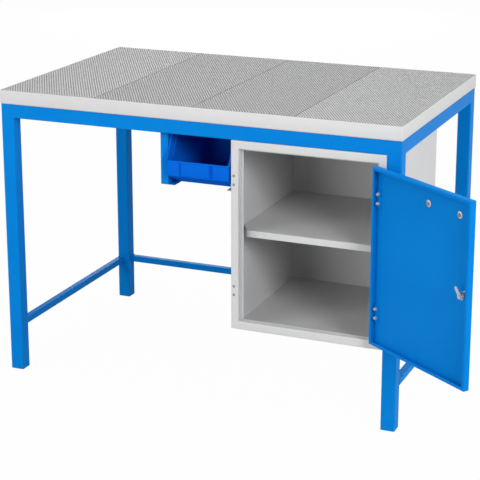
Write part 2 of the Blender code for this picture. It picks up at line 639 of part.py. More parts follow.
def half_hinge(name, level, side, screw_x, upper):
    """One leaf and its half of the knuckle. side is 1 for the stile and -1 for the door."""
    half = HINGE_HEIGHT / 2
    plate_back = FACE_Y - FIT_GAP
    plate_front = plate_back - HINGE_SHEET
    near = PIN_X + side * (HINGE_KNUCKLE + LEAF_CLEAR)
    xs = sorted((near, screw_x + side * LEAF_MARGIN))
    leaf = box(name, (xs[0], plate_front, level - half), (xs[1], plate_back, level + half), ZINC)
    z0, z1 = (level + FIT_GAP, level + half) if upper else (level - half, level - FIT_GAP)
    neck = sorted((PIN_X, near + side * LEAF_CLEAR))
    join(leaf,
         box(name + "_neck", (neck[0], plate_front, z0), (neck[1], plate_back, z1)),
         cylinder(name + "_knuckle", (PIN_X, PIN_Y, z0), (PIN_X, PIN_Y, z1), HINGE_KNUCKLE))
    drill(leaf, (PIN_X, PIN_Y, level), (0, 0, 1), HINGE_PIN + HINGE_PIN_PLAY, HINGE_HEIGHT)
    for rise in (-SCREW_PITCH / 2, SCREW_PITCH / 2):
        drill(leaf, (screw_x, FACE_Y, level + rise), (0, 1, 0),
              SCREW_RADIUS + HOLE_PLAY, CUT_OVERRUN)
    return leaf


def build_hinges(door, frame):
    """Two surface hinges, screwed to the stile and through the door into tapped plates."""
    on_door = []
    seat_y = FACE_Y - 2 * FIT_GAP - HINGE_SHEET
    head_y = seat_y - SCREW_HEAD_HEIGHT
    backing_front = SHEET_BACK + FIT_GAP
    backing_back = backing_front + BACKING_SHEET
    half = HINGE_HEIGHT / 2
    for level, name in zip(HINGE_LEVELS, ("upper", "lower")):
        half_hinge(f"hinge_leaf_stile_{name}", level, 1, STILE_SCREW_X, False)
        on_door.append(half_hinge(f"hinge_leaf_door_{name}", level, -1, DOOR_SCREW_X, True))
        tip = half + HINGE_PIN_TIP
        cylinder(f"hinge_pin_{name}", (PIN_X, PIN_Y, level - tip), (PIN_X, PIN_Y, level + tip),
                 HINGE_PIN, ZINC)
        backing = box(f"hinge_backing_{name}",
                      (DOOR_SCREW_X - DOOR_SCREW_EDGE, backing_front, level - half),
                      (DOOR_RIGHT - DOOR_SHEET - FIT_GAP, backing_back, level + half), BLUE)
        on_door.append(backing)
        for number, rise in ((1, SCREW_PITCH / 2), (2, -SCREW_PITCH / 2)):
            z = level + rise
            for x, side, bodies, tip_y in (
                    (STILE_SCREW_X, "stile", [frame], FACE_Y + CABINET_SHEET + BOLT_REACH),
                    (DOOR_SCREW_X, "door", [door, backing], backing_back + BOLT_REACH / 2)):
                screw = bolt(f"hinge_screw_{side}_{name}_{number}", (x, seat_y, z), (x, tip_y, z),
                             (x, head_y, z), SCREW_RADIUS, SCREW_HEAD, ROUND_SIDES)
                if side == "door":
                    on_door.append(screw)
                for body in bodies:
                    drill(body, (x, FACE_Y, z), (0, 1, 0), SCREW_RADIUS + HOLE_PLAY, CUT_OVERRUN)
    return on_door


def cam_outline():
    """A tongue: a round hub, and a smaller round tip that reaches out along +x."""
    steps = ROUND_SIDES // 2
    hub = [(CAM_HUB * math.cos(turn), CAM_HUB * math.sin(turn))
           for turn in (math.pi / 2 + math.pi * index / steps for index in range(steps + 1))]
    tip = [(CAM_REACH + CAM_TIP * math.cos(turn), CAM_TIP * math.sin(turn))
           for turn in (-math.pi / 2 + math.pi * index / steps for index in range(steps + 1))]
    return hub + tip


def build_lock(door):
    """A cam lock: the body and its nut stay with the door, the plug turns with the cam."""
    centre = Vector((LOCK_X, 0, LOCK_Z))
    back = Vector((0, 1, 0))
    head_back = FACE_Y - FIT_GAP
    barrel_back = FACE_Y + LOCK_LENGTH
    drill(door, centre + back * FACE_Y, back, LOCK_BARREL + HOLE_PLAY, CUT_OVERRUN)
    body = cylinder("lock_body", centre + back * (head_back - LOCK_HEAD_HEIGHT),
                    centre + back * barrel_back, LOCK_BARREL, ZINC, FINE_SIDES)
    join(body, cylinder("lock_head", centre + back * (head_back - LOCK_HEAD_HEIGHT),
                        centre + back * head_back, LOCK_HEAD, None, FINE_SIDES))
    drill(body, centre + back * FACE_Y, back, LOCK_BORE + HOLE_PLAY, 2 * LOCK_LENGTH)
    nut_front = SHEET_BACK + FIT_GAP
    nut = cylinder("lock_nut", centre + back * nut_front,
                   centre + back * (nut_front + LOCK_NUT_HEIGHT), LOCK_NUT, ZINC, HEX_SIDES)
    drill(nut, centre + back * nut_front, back, LOCK_BARREL + HOLE_PLAY, 2 * LOCK_NUT_HEIGHT)
    plug_front = head_back - LOCK_HEAD_HEIGHT
    plug_back = CAM_FRONT - FIT_GAP
    plug = cylinder("lock_plug", centre + back * plug_front, centre + back * plug_back,
                    LOCK_BORE, ZINC, FINE_SIDES)
    cut(plug, box("key_slot",
                  (LOCK_X - KEY_SLOT_WIDTH / 2, plug_front - KEY_SLOT_DEPTH, LOCK_Z - KEY_SLOT_LENGTH / 2),
                  (LOCK_X + KEY_SLOT_WIDTH / 2, plug_front + KEY_SLOT_DEPTH, LOCK_Z + KEY_SLOT_LENGTH / 2)))
    drill(plug, centre + back * plug_back, back, SCREW_RADIUS + HOLE_PLAY, CAM_SCREW_SEAT)
    turn = Matrix.Rotation(CAM_ANGLE, 4, "Z")
    cam = plate("lock_cam", cam_outline(), CAM_SHEET, FROM_FRONT @ turn,
                centre + back * (CAM_FRONT + CAM_SHEET / 2), ZINC)
    drill(cam, centre + back * CAM_FRONT, back, SCREW_RADIUS + HOLE_PLAY, 2 * CAM_SHEET)
    seat = CAM_FRONT + CAM_SHEET + FIT_GAP
    screw = bolt("lock_cam_screw", centre + back * seat,
                 centre + back * (plug_back - CAM_SCREW_SEAT + FIT_GAP),
                 centre + back * (seat + BOLT_HEAD_HEIGHT), SCREW_RADIUS, BOLT_HEAD)
    return [body, nut], [plug, cam, screw]


def handle_path(x0, x1, z):
    """The bow handle's centre line: out, round a bend, across and back."""
    base, out = FACE_Y - FIT_GAP, FACE_Y - FIT_GAP - HANDLE_REACH
    bend = HANDLE_BEND
    steps = ROUND_SIDES // 3
    turns = [math.pi / 2 * index / steps for index in range(steps + 1)]
    first = [(x0 + bend - bend * math.cos(turn), out + bend - bend * math.sin(turn)) for turn in turns]
    last = [(x0 + x1 - x, y) for x, y in reversed(first)]
    return [(x, y, z) for x, y in [(x0, base)] + first + last + [(x1, base)]]


def build_handle(door):
    """A round bow handle, held by two screws from inside the door."""
    x0 = DOOR_LEFT + HANDLE_EDGE
    x1 = x0 + HANDLE_SPACING
    z = DOOR_TOP - HANDLE_BELOW_TOP
    curve = bpy.data.curves.new("handle", "CURVE")
    curve.dimensions = "3D"
    curve.bevel_depth = HANDLE_ROD
    curve.bevel_resolution = 2
    curve.use_fill_caps = True
    spline = curve.splines.new("POLY")
    points = handle_path(x0, x1, z)
    spline.points.add(len(points) - 1)
    for point, place in zip(spline.points, points):
        point.co = (*place, 1)
    handle = curve_to_mesh("handle", curve, Matrix(), BLACK)
    seat = SHEET_BACK + FIT_GAP
    tip = FACE_Y - HANDLE_BORE_DEPTH + FIT_GAP
    pieces = [handle]
    for number, x in ((1, x0), (2, x1)):
        for body, depth in ((handle, HANDLE_BORE_DEPTH), (door, CUT_OVERRUN)):
            drill(body, (x, FACE_Y, z), (0, 1, 0), SCREW_RADIUS + HOLE_PLAY, depth)
        pieces.append(bolt(f"handle_screw_{number}", (x, seat, z), (x, tip, z),
                           (x, seat + SCREW_HEAD_HEIGHT, z), SCREW_RADIUS, BOLT_HEAD, ROUND_SIDES))
    return pieces


def empty(name, place):
    holder = bpy.data.objects.new(name, None)
    CUTTERS.objects.link(holder)
    holder.location = place
    return holder


def hang(bodies, holder):
    """Parents bodies and their cutters to an empty, leaving them where they are."""
    bpy.context.view_layer.update()
    for body in bodies:
        tools = [modifier.object for modifier in body.modifiers if modifier.type == "BOOLEAN"]
        for piece in [body] + tools:
            piece.parent = holder
            piece.matrix_parent_inverse = holder.matrix_world.inverted()


def main():
    build_legs()
    rails = build_top_rails()
    build_low_rails()
    build_tray()
    build_drain()
    build_panels()
    frame = build_front_frame()
    build_carcass(rails)
    build_shelf()
    build_bin()
    build_runners()
    door = build_door()
    on_door = build_hinges(door, frame)
    fixed, turning = build_lock(door)
    on_door += fixed + build_handle(door)
    door_axis = empty("door_axis", (PIN_X, PIN_Y, DOOR_BOTTOM))
    lock_axis = empty("lock_axis", (LOCK_X, FACE_Y, LOCK_Z))
    hang(turning, lock_axis)
    hang([door, *on_door, lock_axis], door_axis)
    door_axis.rotation_euler.z = DOOR_OPEN


main()
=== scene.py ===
# %% [markdown]
# # Engine disassembly table
# A welded tube frame carries a drip tray. Four perforated panels lie in the tray, and oil runs
# through them and the drain into a bin below. A small cabinet with an open door hangs at the right.
# The solids come from the packed CAD model. This script gives each one its finish, and rebuilds
# those whose look needs more than flat faces: punched holes, rounded folds, moulded rims.

# %% Load the packed solids
import math

import bpy
import numpy as np
from mathutils import Matrix, Vector


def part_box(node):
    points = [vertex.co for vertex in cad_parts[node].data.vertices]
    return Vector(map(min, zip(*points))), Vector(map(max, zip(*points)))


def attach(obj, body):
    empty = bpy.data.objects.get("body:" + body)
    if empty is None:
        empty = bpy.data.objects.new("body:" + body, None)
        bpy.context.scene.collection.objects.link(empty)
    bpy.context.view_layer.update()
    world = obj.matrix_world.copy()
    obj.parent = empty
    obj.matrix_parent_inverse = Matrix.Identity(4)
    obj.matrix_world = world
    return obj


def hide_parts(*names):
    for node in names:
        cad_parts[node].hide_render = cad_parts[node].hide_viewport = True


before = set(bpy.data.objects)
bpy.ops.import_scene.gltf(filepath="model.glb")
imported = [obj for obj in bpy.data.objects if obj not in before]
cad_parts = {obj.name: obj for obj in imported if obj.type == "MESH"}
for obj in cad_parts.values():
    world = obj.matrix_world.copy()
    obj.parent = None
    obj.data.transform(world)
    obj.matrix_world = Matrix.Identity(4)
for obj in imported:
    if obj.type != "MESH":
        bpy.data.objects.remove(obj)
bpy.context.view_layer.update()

MM = 0.001

# %% [markdown]
# ## Camera
# The product was pictured from the right and a little above, with a long lens, so that uprights
# stay nearly parallel. The picture was corrected so that uprights are straight, which a lens shift
# does. A camera at the measured place, with the measured lens and a small shift, repeats this.

# %% Camera
CAMERA_PLACE = (1.7078, -4.0960, 1.7540)
CAMERA_TURN = 22.771     # degrees round the upright axis
CAMERA_TILT = 74.848     # degrees up from looking straight down
LENS = 115.78            # mm
SENSOR_WIDTH = 36.0      # mm
SHIFT_UP = -0.125        # of the sensor's width
FAR_CLIP = 60.0          # metres

lens = bpy.data.cameras.new("camera")
lens.lens = LENS
lens.sensor_width = SENSOR_WIDTH
lens.shift_y = SHIFT_UP
lens.clip_end = FAR_CLIP
camera = bpy.data.objects.new("camera", lens)
camera.location = CAMERA_PLACE
camera.rotation_euler = (math.radians(CAMERA_TILT), 0.0, math.radians(CAMERA_TURN))
bpy.context.scene.collection.objects.link(camera)
bpy.context.scene.camera = camera
bpy.context.scene.view_settings.view_transform = "Standard"
print("camera stands", round(camera.location.length, 2), "m from the table's middle")

# %% [markdown]
# ## Shader maths
# A finish is a tree of nodes, and nodes are easier to read as sums. A `Value` wraps one output of a
# node, so `1 - mask * 0.5` adds the Math nodes it needs. A `Tree` holds the nodes of a material or
# of the world, and one method makes any node from its type, its settings and its inputs.

# %% Values
class Value:
    """One output of a node. Sums, differences and products with it become Math nodes."""

    def __init__(self, tree, socket):
        self.tree = tree
        self.socket = socket

    def math(self, operation, first, second):
        """The result of one Math node."""
        return self.tree.node("ShaderNodeMath", {"operation": operation}, [first, second])

    def __add__(self, other):
        return self.math("ADD", self, other)

    def __radd__(self, other):
        return self.math("ADD", other, self)

    def __sub__(self, other):
        return self.math("SUBTRACT", self, other)

    def __rsub__(self, other):
        return self.math("SUBTRACT", other, self)

    def __mul__(self, other):
        return self.math("MULTIPLY", self, other)

    def __rmul__(self, other):
        return self.math("MULTIPLY", other, self)


print("a value can be added, subtracted and multiplied, from either side")


# %% Trees of nodes
class Tree:
    """The nodes of a material or of the world."""

    def __init__(self, owner):
        owner.use_nodes = True
        self.nodes = owner.node_tree.nodes
        self.links = owner.node_tree.links

    def node(self, kind, settings=None, inputs=(), output=0):
        """Adds a node, sets it up, then gives its sockets values or links."""
        made = self.nodes.new(kind)
        for name, value in (settings or {}).items():
            if name == "stops":
                self.set_stops(made.color_ramp, value)
            else:
                setattr(made, name, value)
        pairs = inputs.items() if isinstance(inputs, dict) else enumerate(inputs)
        for key, value in pairs:
            self.connect(made.inputs[key], value)
        return Value(self, made.outputs[output])

    def connect(self, socket, value):
        """Links a value to a socket, or writes a plain number or colour on it."""
        if isinstance(value, Value):
            self.links.new(value.socket, socket)
        else:
            socket.default_value = value

    def set_stops(self, ramp, stops):
        """Gives a ramp its places and grey levels."""
        while len(ramp.elements) < len(stops):
            ramp.elements.new(1.0)
        for element, (place, level) in zip(ramp.elements, stops):
            element.position = place
            element.color = (level, level, level, 1.0)


print("one method makes every node:", Tree.node.__doc__)

# %% [markdown]
# ## Finishes
# On the real table a finish is never even: paint has orange peel, zinc has crystals, and all of it
# wears. So a `Finish` is a tree round one surface shader with a few tools that every surface here
# needs: noise, a ramp, a mix of two colours and a bump. Values that are the same all over are
# written on the shader itself, and only what changes over the surface gets nodes.


# %% A finish
class Finish(Tree):
    """A material round one Principled shader."""

    def __init__(self, name, **even):
        self.material = bpy.data.materials.new(name)
        super().__init__(self.material)
        self.shader = self.nodes["Principled BSDF"]
        for socket, value in even.items():
            self.shader.inputs[socket.replace("_", " ")].default_value = value
        self.place = self.node("ShaderNodeTexCoord", output="Object")

    def noise(self, scale, detail=2.0, along=(1.0, 1.0, 1.0)):
        """Soft noise between 0 and 1, stretched along an axis by a smaller factor there."""
        place = self.node("ShaderNodeMapping", None, {"Vector": self.place, "Scale": along})
        return self.node("ShaderNodeTexNoise", None,
                         {"Vector": place, "Scale": scale, "Detail": detail})

    def ramp(self, value, stops):
        """A value passed through a curve of straight pieces."""
        return self.node("ShaderNodeValToRGB", {"stops": stops}, [value])

    def mix(self, factor, first, second):
        """One colour fading to another. A Mix node's colour sockets are 6 and 7."""
        return self.node("ShaderNodeMix", {"data_type": "RGBA"},
                         {0: factor, 6: (*first, 1.0), 7: (*second, 1.0)}, 2)

    def feed(self, socket, value):
        """Links a value to the surface shader."""
        self.connect(self.shader.inputs[socket], value)

    def bump(self, height, strength, distance):
        """Small relief, by a height map."""
        relief = self.node("ShaderNodeBump", None,
                           {"Height": height, "Strength": strength, "Distance": distance})
        self.feed("Normal", relief)


print("tools of a finish:", ", ".join(name for name in vars(Finish) if name[0] != "_"))

# %% [markdown]
# ## Powder coat
# The frame and the cabinet are powder coated: dry paint is sprayed on and melted in an oven. It
# leaves a satin skin with a faint orange peel. A bump from fine noise gives the peel, and slow noise
# changes the colour and the gloss a little, as a thicker or thinner coat does.

# %% Blue and grey powder coat
PEEL_SCALE = 420.0       # bumps per metre, about
PEEL_HEIGHT = 0.00012
PEEL_STRENGTH = 0.35
COAT_CLOUD = 5.0         # per metre: thick and thin places
COAT_SPECK = 160.0       # per metre: specks of powder that melted late
COAT_SPREAD = 0.12       # how far roughness moves with the clouds


def powder_coat(name, colour, thin, roughness, gloss):
    """Colour fades by slow noise to that of a thin coat; roughness follows the same noise."""
    finish = Finish(name, Roughness=roughness, Specular_IOR_Level=gloss)
    cloud = finish.noise(COAT_CLOUD, 3.0)
    speck = finish.noise(COAT_SPECK, 1.0)
    share = finish.ramp(cloud * 0.75 + speck * 0.25, [(0.35, 0.0), (0.7, 1.0)])
    finish.feed("Base Color", finish.mix(share, colour, thin))
    finish.feed("Roughness", cloud * COAT_SPREAD + (roughness - COAT_SPREAD / 2))
    finish.bump(finish.noise(PEEL_SCALE, 1.0), PEEL_STRENGTH, PEEL_HEIGHT)
    return finish.material


BLUE = powder_coat("blue_powder_coat", (0.0010, 0.196, 0.615), (0.0025, 0.217, 0.650),
                   roughness=0.38, gloss=0.02)
GREY = powder_coat("grey_powder_coat", (0.602, 0.602, 0.602), (0.628, 0.628, 0.627),
                   roughness=0.44, gloss=0.14)
print("powder coats:", BLUE.name, GREY.name)

# %% [markdown]
# ## Galvanised sheet
# The perforated sheet is galvanised: zinc freezes on it in flat crystals, the spangle, which differ
# in grey and gloss. A picture of spangle would repeat, so Voronoi cells give the crystals, and
# noise stretched along the sheet gives the lines of the rolls. No two sheets come out alike: each
# panel has its own tone. Old plating dulls to the same broken grey, so dome nuts and screw heads
# use this shader too, in darker tones. The plugs in the spare holes take it as painted shade: their
# dull grey stands in for the shade in the holes.

# %% Galvanised sheet and dull plating
SPANGLE_SCALE = 75.0     # crystals per metre
ROLLED_SCALE = 240.0
DULL_SCALE = 7.0
DARK_CRYSTAL = (0.37, 0.372, 0.375)
LIGHT_CRYSTAL = (0.55, 0.552, 0.555)
PANEL_TONES = (1.10, 0.95, 0.93, 1.10)
DULL_TONE, WORN_TONE = 0.62, 0.86


def galvanised(name, tone):
    """Each Voronoi cell takes its own grey and roughness; stretched noise adds rolling lines. The
    tone makes one sheet a little darker or lighter than the next."""
    finish = Finish(name, Metallic=0.2, Specular_IOR_Level=0.12)
    cell = finish.node("ShaderNodeTexVoronoi", None,
                       {"Vector": finish.place, "Scale": SPANGLE_SCALE}, "Color")
    crystal = finish.node("ShaderNodeSeparateColor", None, [cell], "Red")
    rolled = finish.noise(ROLLED_SCALE, 2.0, (1.0, 0.04, 1.0))
    dull = finish.noise(DULL_SCALE, 3.0)
    share = crystal * 0.45 + rolled * 0.25 + dull * 0.3
    dark, light = (tuple(tone * level for level in grey) for grey in (DARK_CRYSTAL, LIGHT_CRYSTAL))
    finish.feed("Base Color", finish.mix(share, dark, light))
    finish.feed("Roughness", crystal * 0.14 + dull * 0.16 + 0.54)
    finish.bump(rolled, 0.10, 0.0001)
    return finish.material


SHEETS = [galvanised(f"perforated_steel_{number + 1}", tone)
          for number, tone in enumerate(PANEL_TONES)]
DULL_ZINC = galvanised("dull_zinc", DULL_TONE)
WORN_ZINC = galvanised("worn_zinc", WORN_TONE)
print("galvanised:", ", ".join(sheet.name for sheet in (*SHEETS, DULL_ZINC, WORN_ZINC)))

# %% [markdown]
# ## Bright zinc, and cut edges with painted shade
# Hinges, lock and washers are plated with bright zinc, a mirror-like skin that handling clouds: a
# metal whose roughness follows noise. Where the punch goes through the sheet it leaves bare steel,
# and that edge is what the eye sees of a hole. Its finish is partly painted shade: bare steel
# darkened to near-black, which stands in for the shade inside the holes, and which also covers the
# panels' folds as painted shade in the seams between panels and in the gap at the tray's rim.

# %% Bright zinc, and cut edges with painted shade
ZINC_DARK = (0.36, 0.37, 0.39)
ZINC_LIGHT = (0.50, 0.50, 0.51)
# painted shade: near-black greys for the holes' walls and the panels' folds, darker than bare steel
EDGE_SHADE_DARK = (0.045, 0.046, 0.048)
EDGE_SHADE_LIGHT = (0.12, 0.12, 0.125)


def bright_zinc(name):
    """A mirror-like grey metal whose roughness is clouded by noise."""
    finish = Finish(name, Metallic=1.0)
    cloud = finish.noise(55.0, 3.0)
    finish.feed("Base Color", finish.mix(cloud, ZINC_DARK, ZINC_LIGHT))
    finish.feed("Roughness", cloud * 0.20 + 0.34)
    finish.bump(finish.noise(900.0, 1.0), 0.15, 0.00005)
    return finish.material


def cut_edge_and_painted_shade(name):
    """Bare steel where the punch went through the zinc, dull and streaked by the tool, and darkened
    to near-black as painted shade for the holes and the seams between panels.
    """
    finish = Finish(name, Metallic=0.35, Roughness=0.62)
    streak = finish.noise(700.0, 2.0, (1.0, 1.0, 0.1))
    finish.feed("Base Color", finish.mix(streak, EDGE_SHADE_DARK, EDGE_SHADE_LIGHT))
    return finish.material


# painted shade: this finish darkens the holes' walls and the panels' folds
CUT_EDGE_AND_PAINTED_SHADE = cut_edge_and_painted_shade("cut_edge_and_painted_shade")
ZINC = bright_zinc("bright_zinc")
print("metals:", CUT_EDGE_AND_PAINTED_SHADE.name, ZINC.name)

# %% [markdown]
# ## Plastics
# The bin is moulded in a strong blue with a fine spark-eroded grain. The door's handle is black
# nylon, matt, with a coarser grain. Both are one shader with a grain bump, because what differs
# between them is only colour, gloss and the size of the grain.

# %% Moulded plastics
RUB_SCALE = 9.0          # per metre: places rubbed by use
RUB_SPREAD = 0.14        # how far roughness moves with them
GRAIN_HEIGHT = 0.0001


def moulded(name, colour, worn, roughness, gloss, grain_scale, grain):
    """One colour with slow noise towards a rubbed shade, and a fine grain as relief."""
    finish = Finish(name, Roughness=roughness, Specular_IOR_Level=gloss)
    cloud = finish.noise(RUB_SCALE, 3.0)
    finish.feed("Base Color", finish.mix(cloud, colour, worn))
    finish.feed("Roughness", cloud * RUB_SPREAD + (roughness - RUB_SPREAD / 2))
    finish.bump(finish.noise(grain_scale, 2.0), grain, GRAIN_HEIGHT)
    return finish.material


BIN_BLUE = moulded("bin_plastic", (0.0022, 0.120, 0.630), (0.0034, 0.142, 0.690),
                   roughness=0.40, gloss=0.0, grain_scale=1100.0, grain=0.25)
BLACK = moulded("black_plastic", (0.018, 0.018, 0.019), (0.030, 0.030, 0.031),
                roughness=0.46, gloss=0.40, grain_scale=1500.0, grain=0.5)
print("plastics:", BIN_BLUE.name, BLACK.name)

# %% [markdown]
# ## Finishes on the solids
# Every solid of the CAD model gets its finish here, also those that a finer piece replaces later.
# A material could be chosen for each by hand, but their names start with what they belong to, so a
# list of beginnings is enough, and a new solid is dressed by itself.

# %% Dress the solids
FINISHES = {
    "blue_powder_coat": (BLUE, ("leg_", "front_rail", "rear_rail", "middle_rail", "left_rail",
                                "right_rail", "low_rail", "runner_left", "door", "hinge_backing")),
    "grey_powder_coat": (GREY, ("tray", "cabinet_front_frame", "cabinet_side", "cabinet_back",
                                "cabinet_top", "cabinet_bottom", "shelf", "runner_right")),
    "perforated_steel": (SHEETS[0], ("panel_",)),
    "bright_zinc": (ZINC, ("drain_spout", "spout_nut", "cabinet_bolt", "hinge_leaf", "hinge_pin",
                           "hinge_screw", "lock_", "handle_screw")),
    "bin_plastic": (BIN_BLUE, ("bin",)),
    "black_plastic": (BLACK, ("handle",)),
}
dressed = {}
for slot_name, (material, beginnings) in FINISHES.items():
    for node_name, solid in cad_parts.items():
        screw_in_plastic = slot_name == "black_plastic" and "screw" in node_name
        if node_name.startswith(beginnings) and not screw_in_plastic:
            solid.data.materials.clear()
            solid.data.materials.append(material)
            dressed[node_name] = slot_name
print("dressed", len(dressed), "solids; left out:", sorted(set(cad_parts) - set(dressed)))

# %% [markdown]
# ## Surfaces as arrays
# Each new piece is a grid of points: rows follow a profile, columns follow a path. Drawing such a
# surface by hand point by point would take days; a formula gives all points at once. One helper
# turns points and faces into an object, gives it a finish, and lets it ride on its body.

# %% Make a piece
SHARP_ANGLE = 35.0       # degrees: where faces turn by more, the edge stays sharp


def make_piece(name, points, faces, body, slot_name, nodes=(), smooth=SHARP_ANGLE, flip=False,
               finish=None, other=None):
    """Puts points (n x 3) and lists of equal-sided faces (each m x corners) into a mesh. finish
    stands in for the slot's own. other is the number of a list of faces and their material."""
    points = np.asarray(points, dtype=np.float32).reshape(-1, 3)
    groups = [np.asarray(group, dtype=np.int32) for group in faces if len(group)]
    groups = [group[:, ::-1] if flip else group for group in groups]
    corners = np.concatenate([group.ravel() for group in groups])
    sides = np.concatenate([np.full(len(group), group.shape[1]) for group in groups])
    mesh = bpy.data.meshes.new(name)
    mesh.vertices.add(len(points))
    mesh.vertices.foreach_set("co", points.ravel())
    mesh.loops.add(len(corners))
    mesh.loops.foreach_set("vertex_index", corners)
    mesh.polygons.add(len(sides))
    mesh.polygons.foreach_set("loop_start", (np.cumsum(sides) - sides).astype(np.int32))
    mesh.update(calc_edges=True)
    mesh.validate()
    mesh.shade_smooth()
    mesh.set_sharp_from_angle(angle=math.radians(smooth))
    piece = bpy.data.objects.new(name, mesh)
    bpy.context.scene.collection.objects.link(piece)
    mesh.materials.append(finish or FINISHES[slot_name][0])
    if other:
        mesh.materials.append(other[1])
        lengths = [len(group) for group in groups]
        chosen = np.repeat(np.arange(len(groups)) == other[0], lengths).astype(np.int32)
        mesh.polygons.foreach_set("material_index", chosen)
    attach(piece, body)
    if nodes:
        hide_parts(*nodes)
    print(f"{name}: {len(points)} points, {int((sides - 2).sum())} triangles")
    return piece


print("edges stay sharp over", SHARP_ANGLE, "degrees")

# %% Faces of a grid
def grid_faces(rows, columns, first=0, wrap_rows=False, wrap_columns=True):
    """Quads between neighbouring rows and columns of a grid whose points are numbered by rows."""
    row = np.arange(rows if wrap_rows else rows - 1)
    column = np.arange(columns if wrap_columns else columns - 1)
    row, column = np.meshgrid(row, column, indexing="ij")
    above, beside = (row + 1) % rows, (column + 1) % columns
    quads = [row * columns + column, row * columns + beside,
             above * columns + beside, above * columns + column]
    return first + np.stack(quads, axis=-1).reshape(-1, 4)


def ladder_faces(ring):
    """Closes a ring that is the same on its left and right: rungs join mirrored points."""
    half = len(ring) // 2
    right, left = ring[:half], ring[::-1][:half]
    return np.stack([right[:-1], right[1:], left[1:], left[:-1]], axis=-1)


print("a tube of 3 rings of 8 points:", len(grid_faces(3, 8)), "quads, and",
      len(ladder_faces(np.arange(8))), "to close each end")

# %% [markdown]
# ## Folded sheet
# Tray, door, face frame and shelf are bent from sheet. A bend is never a sharp line: its outside
# has a radius, and it catches the light as a thin bright line. So each is a profile across the
# sheet, bends as arcs, carried round an outline. Each corner of the outline is pulled in by as much
# as the profile asks, and keeps a small radius.

# %% Carry a profile round an outline
CORNER_STEPS = 4
LEAST_RADIUS = 0.25 * MM


def outline_ring(corners, pull, radius, steps=CORNER_STEPS):
    """The outline pulled in by a distance. Each corner moves along its two edges' inward normals
    until it is that far from both; an arc of the radius left then rounds it."""
    corners = np.asarray(corners, dtype=float)
    ahead = np.roll(corners, -1, axis=0) - corners
    ahead /= np.linalg.norm(ahead, axis=1, keepdims=True)
    after = np.stack([-ahead[:, 1], ahead[:, 0]], axis=1)
    before = np.roll(after, 1, axis=0)
    bisector = (before + after) / (1.0 + (before * after).sum(axis=1, keepdims=True))
    left = max(radius - pull, LEAST_RADIUS)
    centre = corners + bisector * (pull + left)
    start = np.arctan2(-before[:, 1], -before[:, 0])
    sweep = (np.arctan2(-after[:, 1], -after[:, 0]) - start) % (2 * math.pi)
    turn = start[:, None] + sweep[:, None] * np.linspace(0, 1, steps + 1)
    return (centre[:, None] + left * np.stack([np.cos(turn), np.sin(turn)], axis=-1)).reshape(-1, 2)


def carried(profile, corners, radius, steps=CORNER_STEPS):
    """A grid of points (rows follow the profile, columns the outline): along, across, level."""
    rings = [outline_ring(corners, pull, radius, steps) for pull, level in profile]
    levels = np.array([level for pull, level in profile])
    rings = np.stack(rings)
    level = np.broadcast_to(levels[:, None, None], (*rings.shape[:2], 1))
    return np.concatenate([rings, level], axis=2)


def bend(centre, radius, start, end, steps=3):
    """An arc of a profile round a centre, between two angles in degrees."""
    turn = np.radians(np.linspace(start, end, steps + 1))
    return [(centre[0] + radius * math.cos(angle), centre[1] + radius * math.sin(angle))
            for angle in turn]


def rectangle(low, high):
    """Corners of a rectangle, against the clock."""
    return [(low[0], low[1]), (high[0], low[1]), (high[0], high[1]), (low[0], high[1])]


print("a rounded square has", len(outline_ring(rectangle((0, 0), (1, 1)), 0.0, 0.1)), "points")

# %% [markdown]
# ## Sheet with a hole
# A sheet with a hole isn't a ladder of rungs. Triangles could be found by a general method, but
# both outlines here lie round one middle: so all points are sorted by their angle seen from there,
# and each in turn makes a triangle with the last point of either ring.

# %% Triangles between an outline and a hole
def zip_rings(outer, inner, middle, turn=1.0):
    """Numbers of triangles' corners, outline points first, then the hole's. All points are sorted
    by their angle round the middle; each one in turn makes a triangle with the last of each ring.
    An outline of few points takes its turn earlier, at this share of the way from the one before,
    so that no triangle reaches round the hole to its far side."""
    angles = [np.arctan2(ring[:, 1] - middle[1], ring[:, 0] - middle[0]) for ring in (outer, inner)]
    own = [np.argsort(angle, kind="stable") for angle in angles]
    ordered = angles[0][own[0]]
    before = np.concatenate([ordered[-1:] - 2 * math.pi, ordered[:-1]])
    merged = np.concatenate([before + turn * (ordered - before), angles[1][own[1]]])
    outside = np.argsort(merged, kind="stable") < len(outer)
    last_out = (np.cumsum(outside) - outside - 1) % len(outer)
    last_in = (np.cumsum(~outside) - ~outside - 1) % len(inner)
    first = own[0][last_out]
    third = own[1][last_in] + len(outer)
    step = np.where(outside, own[0][(last_out + 1) % len(outer)],
                    own[1][(last_in + 1) % len(inner)] + len(outer))
    return np.stack([first, step, third], axis=-1)


def circle(middle, radius, sides, turn=0.0):
    """Points round a circle, against the clock."""
    angle = turn + 2 * math.pi * np.arange(sides) / sides
    return np.asarray(middle)[:2] + radius * np.stack([np.cos(angle), np.sin(angle)], axis=-1)


SQUARE = np.array(rectangle((-1, -1), (1, 1)))
print("triangles from a square to a hole:", len(zip_rings(SQUARE, circle((0, 0), 0.3, 12), (0, 0))))

# %% [markdown]
# ## Tray
# The drip tray is one folded sheet with a plain upright rim, which hides the table's top edge. Its
# profile runs from under the floor, round the bend and up the outside, over the cut edge and back
# down. A box with a thickness would look as stiff as wood; the round bend and the thin rounded
# edge are what make it read as sheet. Its floor has the drain's hole.

# %% Tray
TRAY_SHEET = 2.0 * MM
TRAY_BEND = 3.5 * MM
TRAY_CORNER = 3.0 * MM
TRAY_REACH = 60.0 * MM    # breadth of floor that still follows the rim
CUT_ROUND = 0.5 * MM      # the coat rounds every cut edge by about this
DRAIN_HOLE = 12.8 * MM    # radius
DRAIN_SIDES = 32
tray_low, tray_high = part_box("tray")
nut_low, nut_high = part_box("spout_nut")
drain_middle = (nut_low + nut_high) / 2


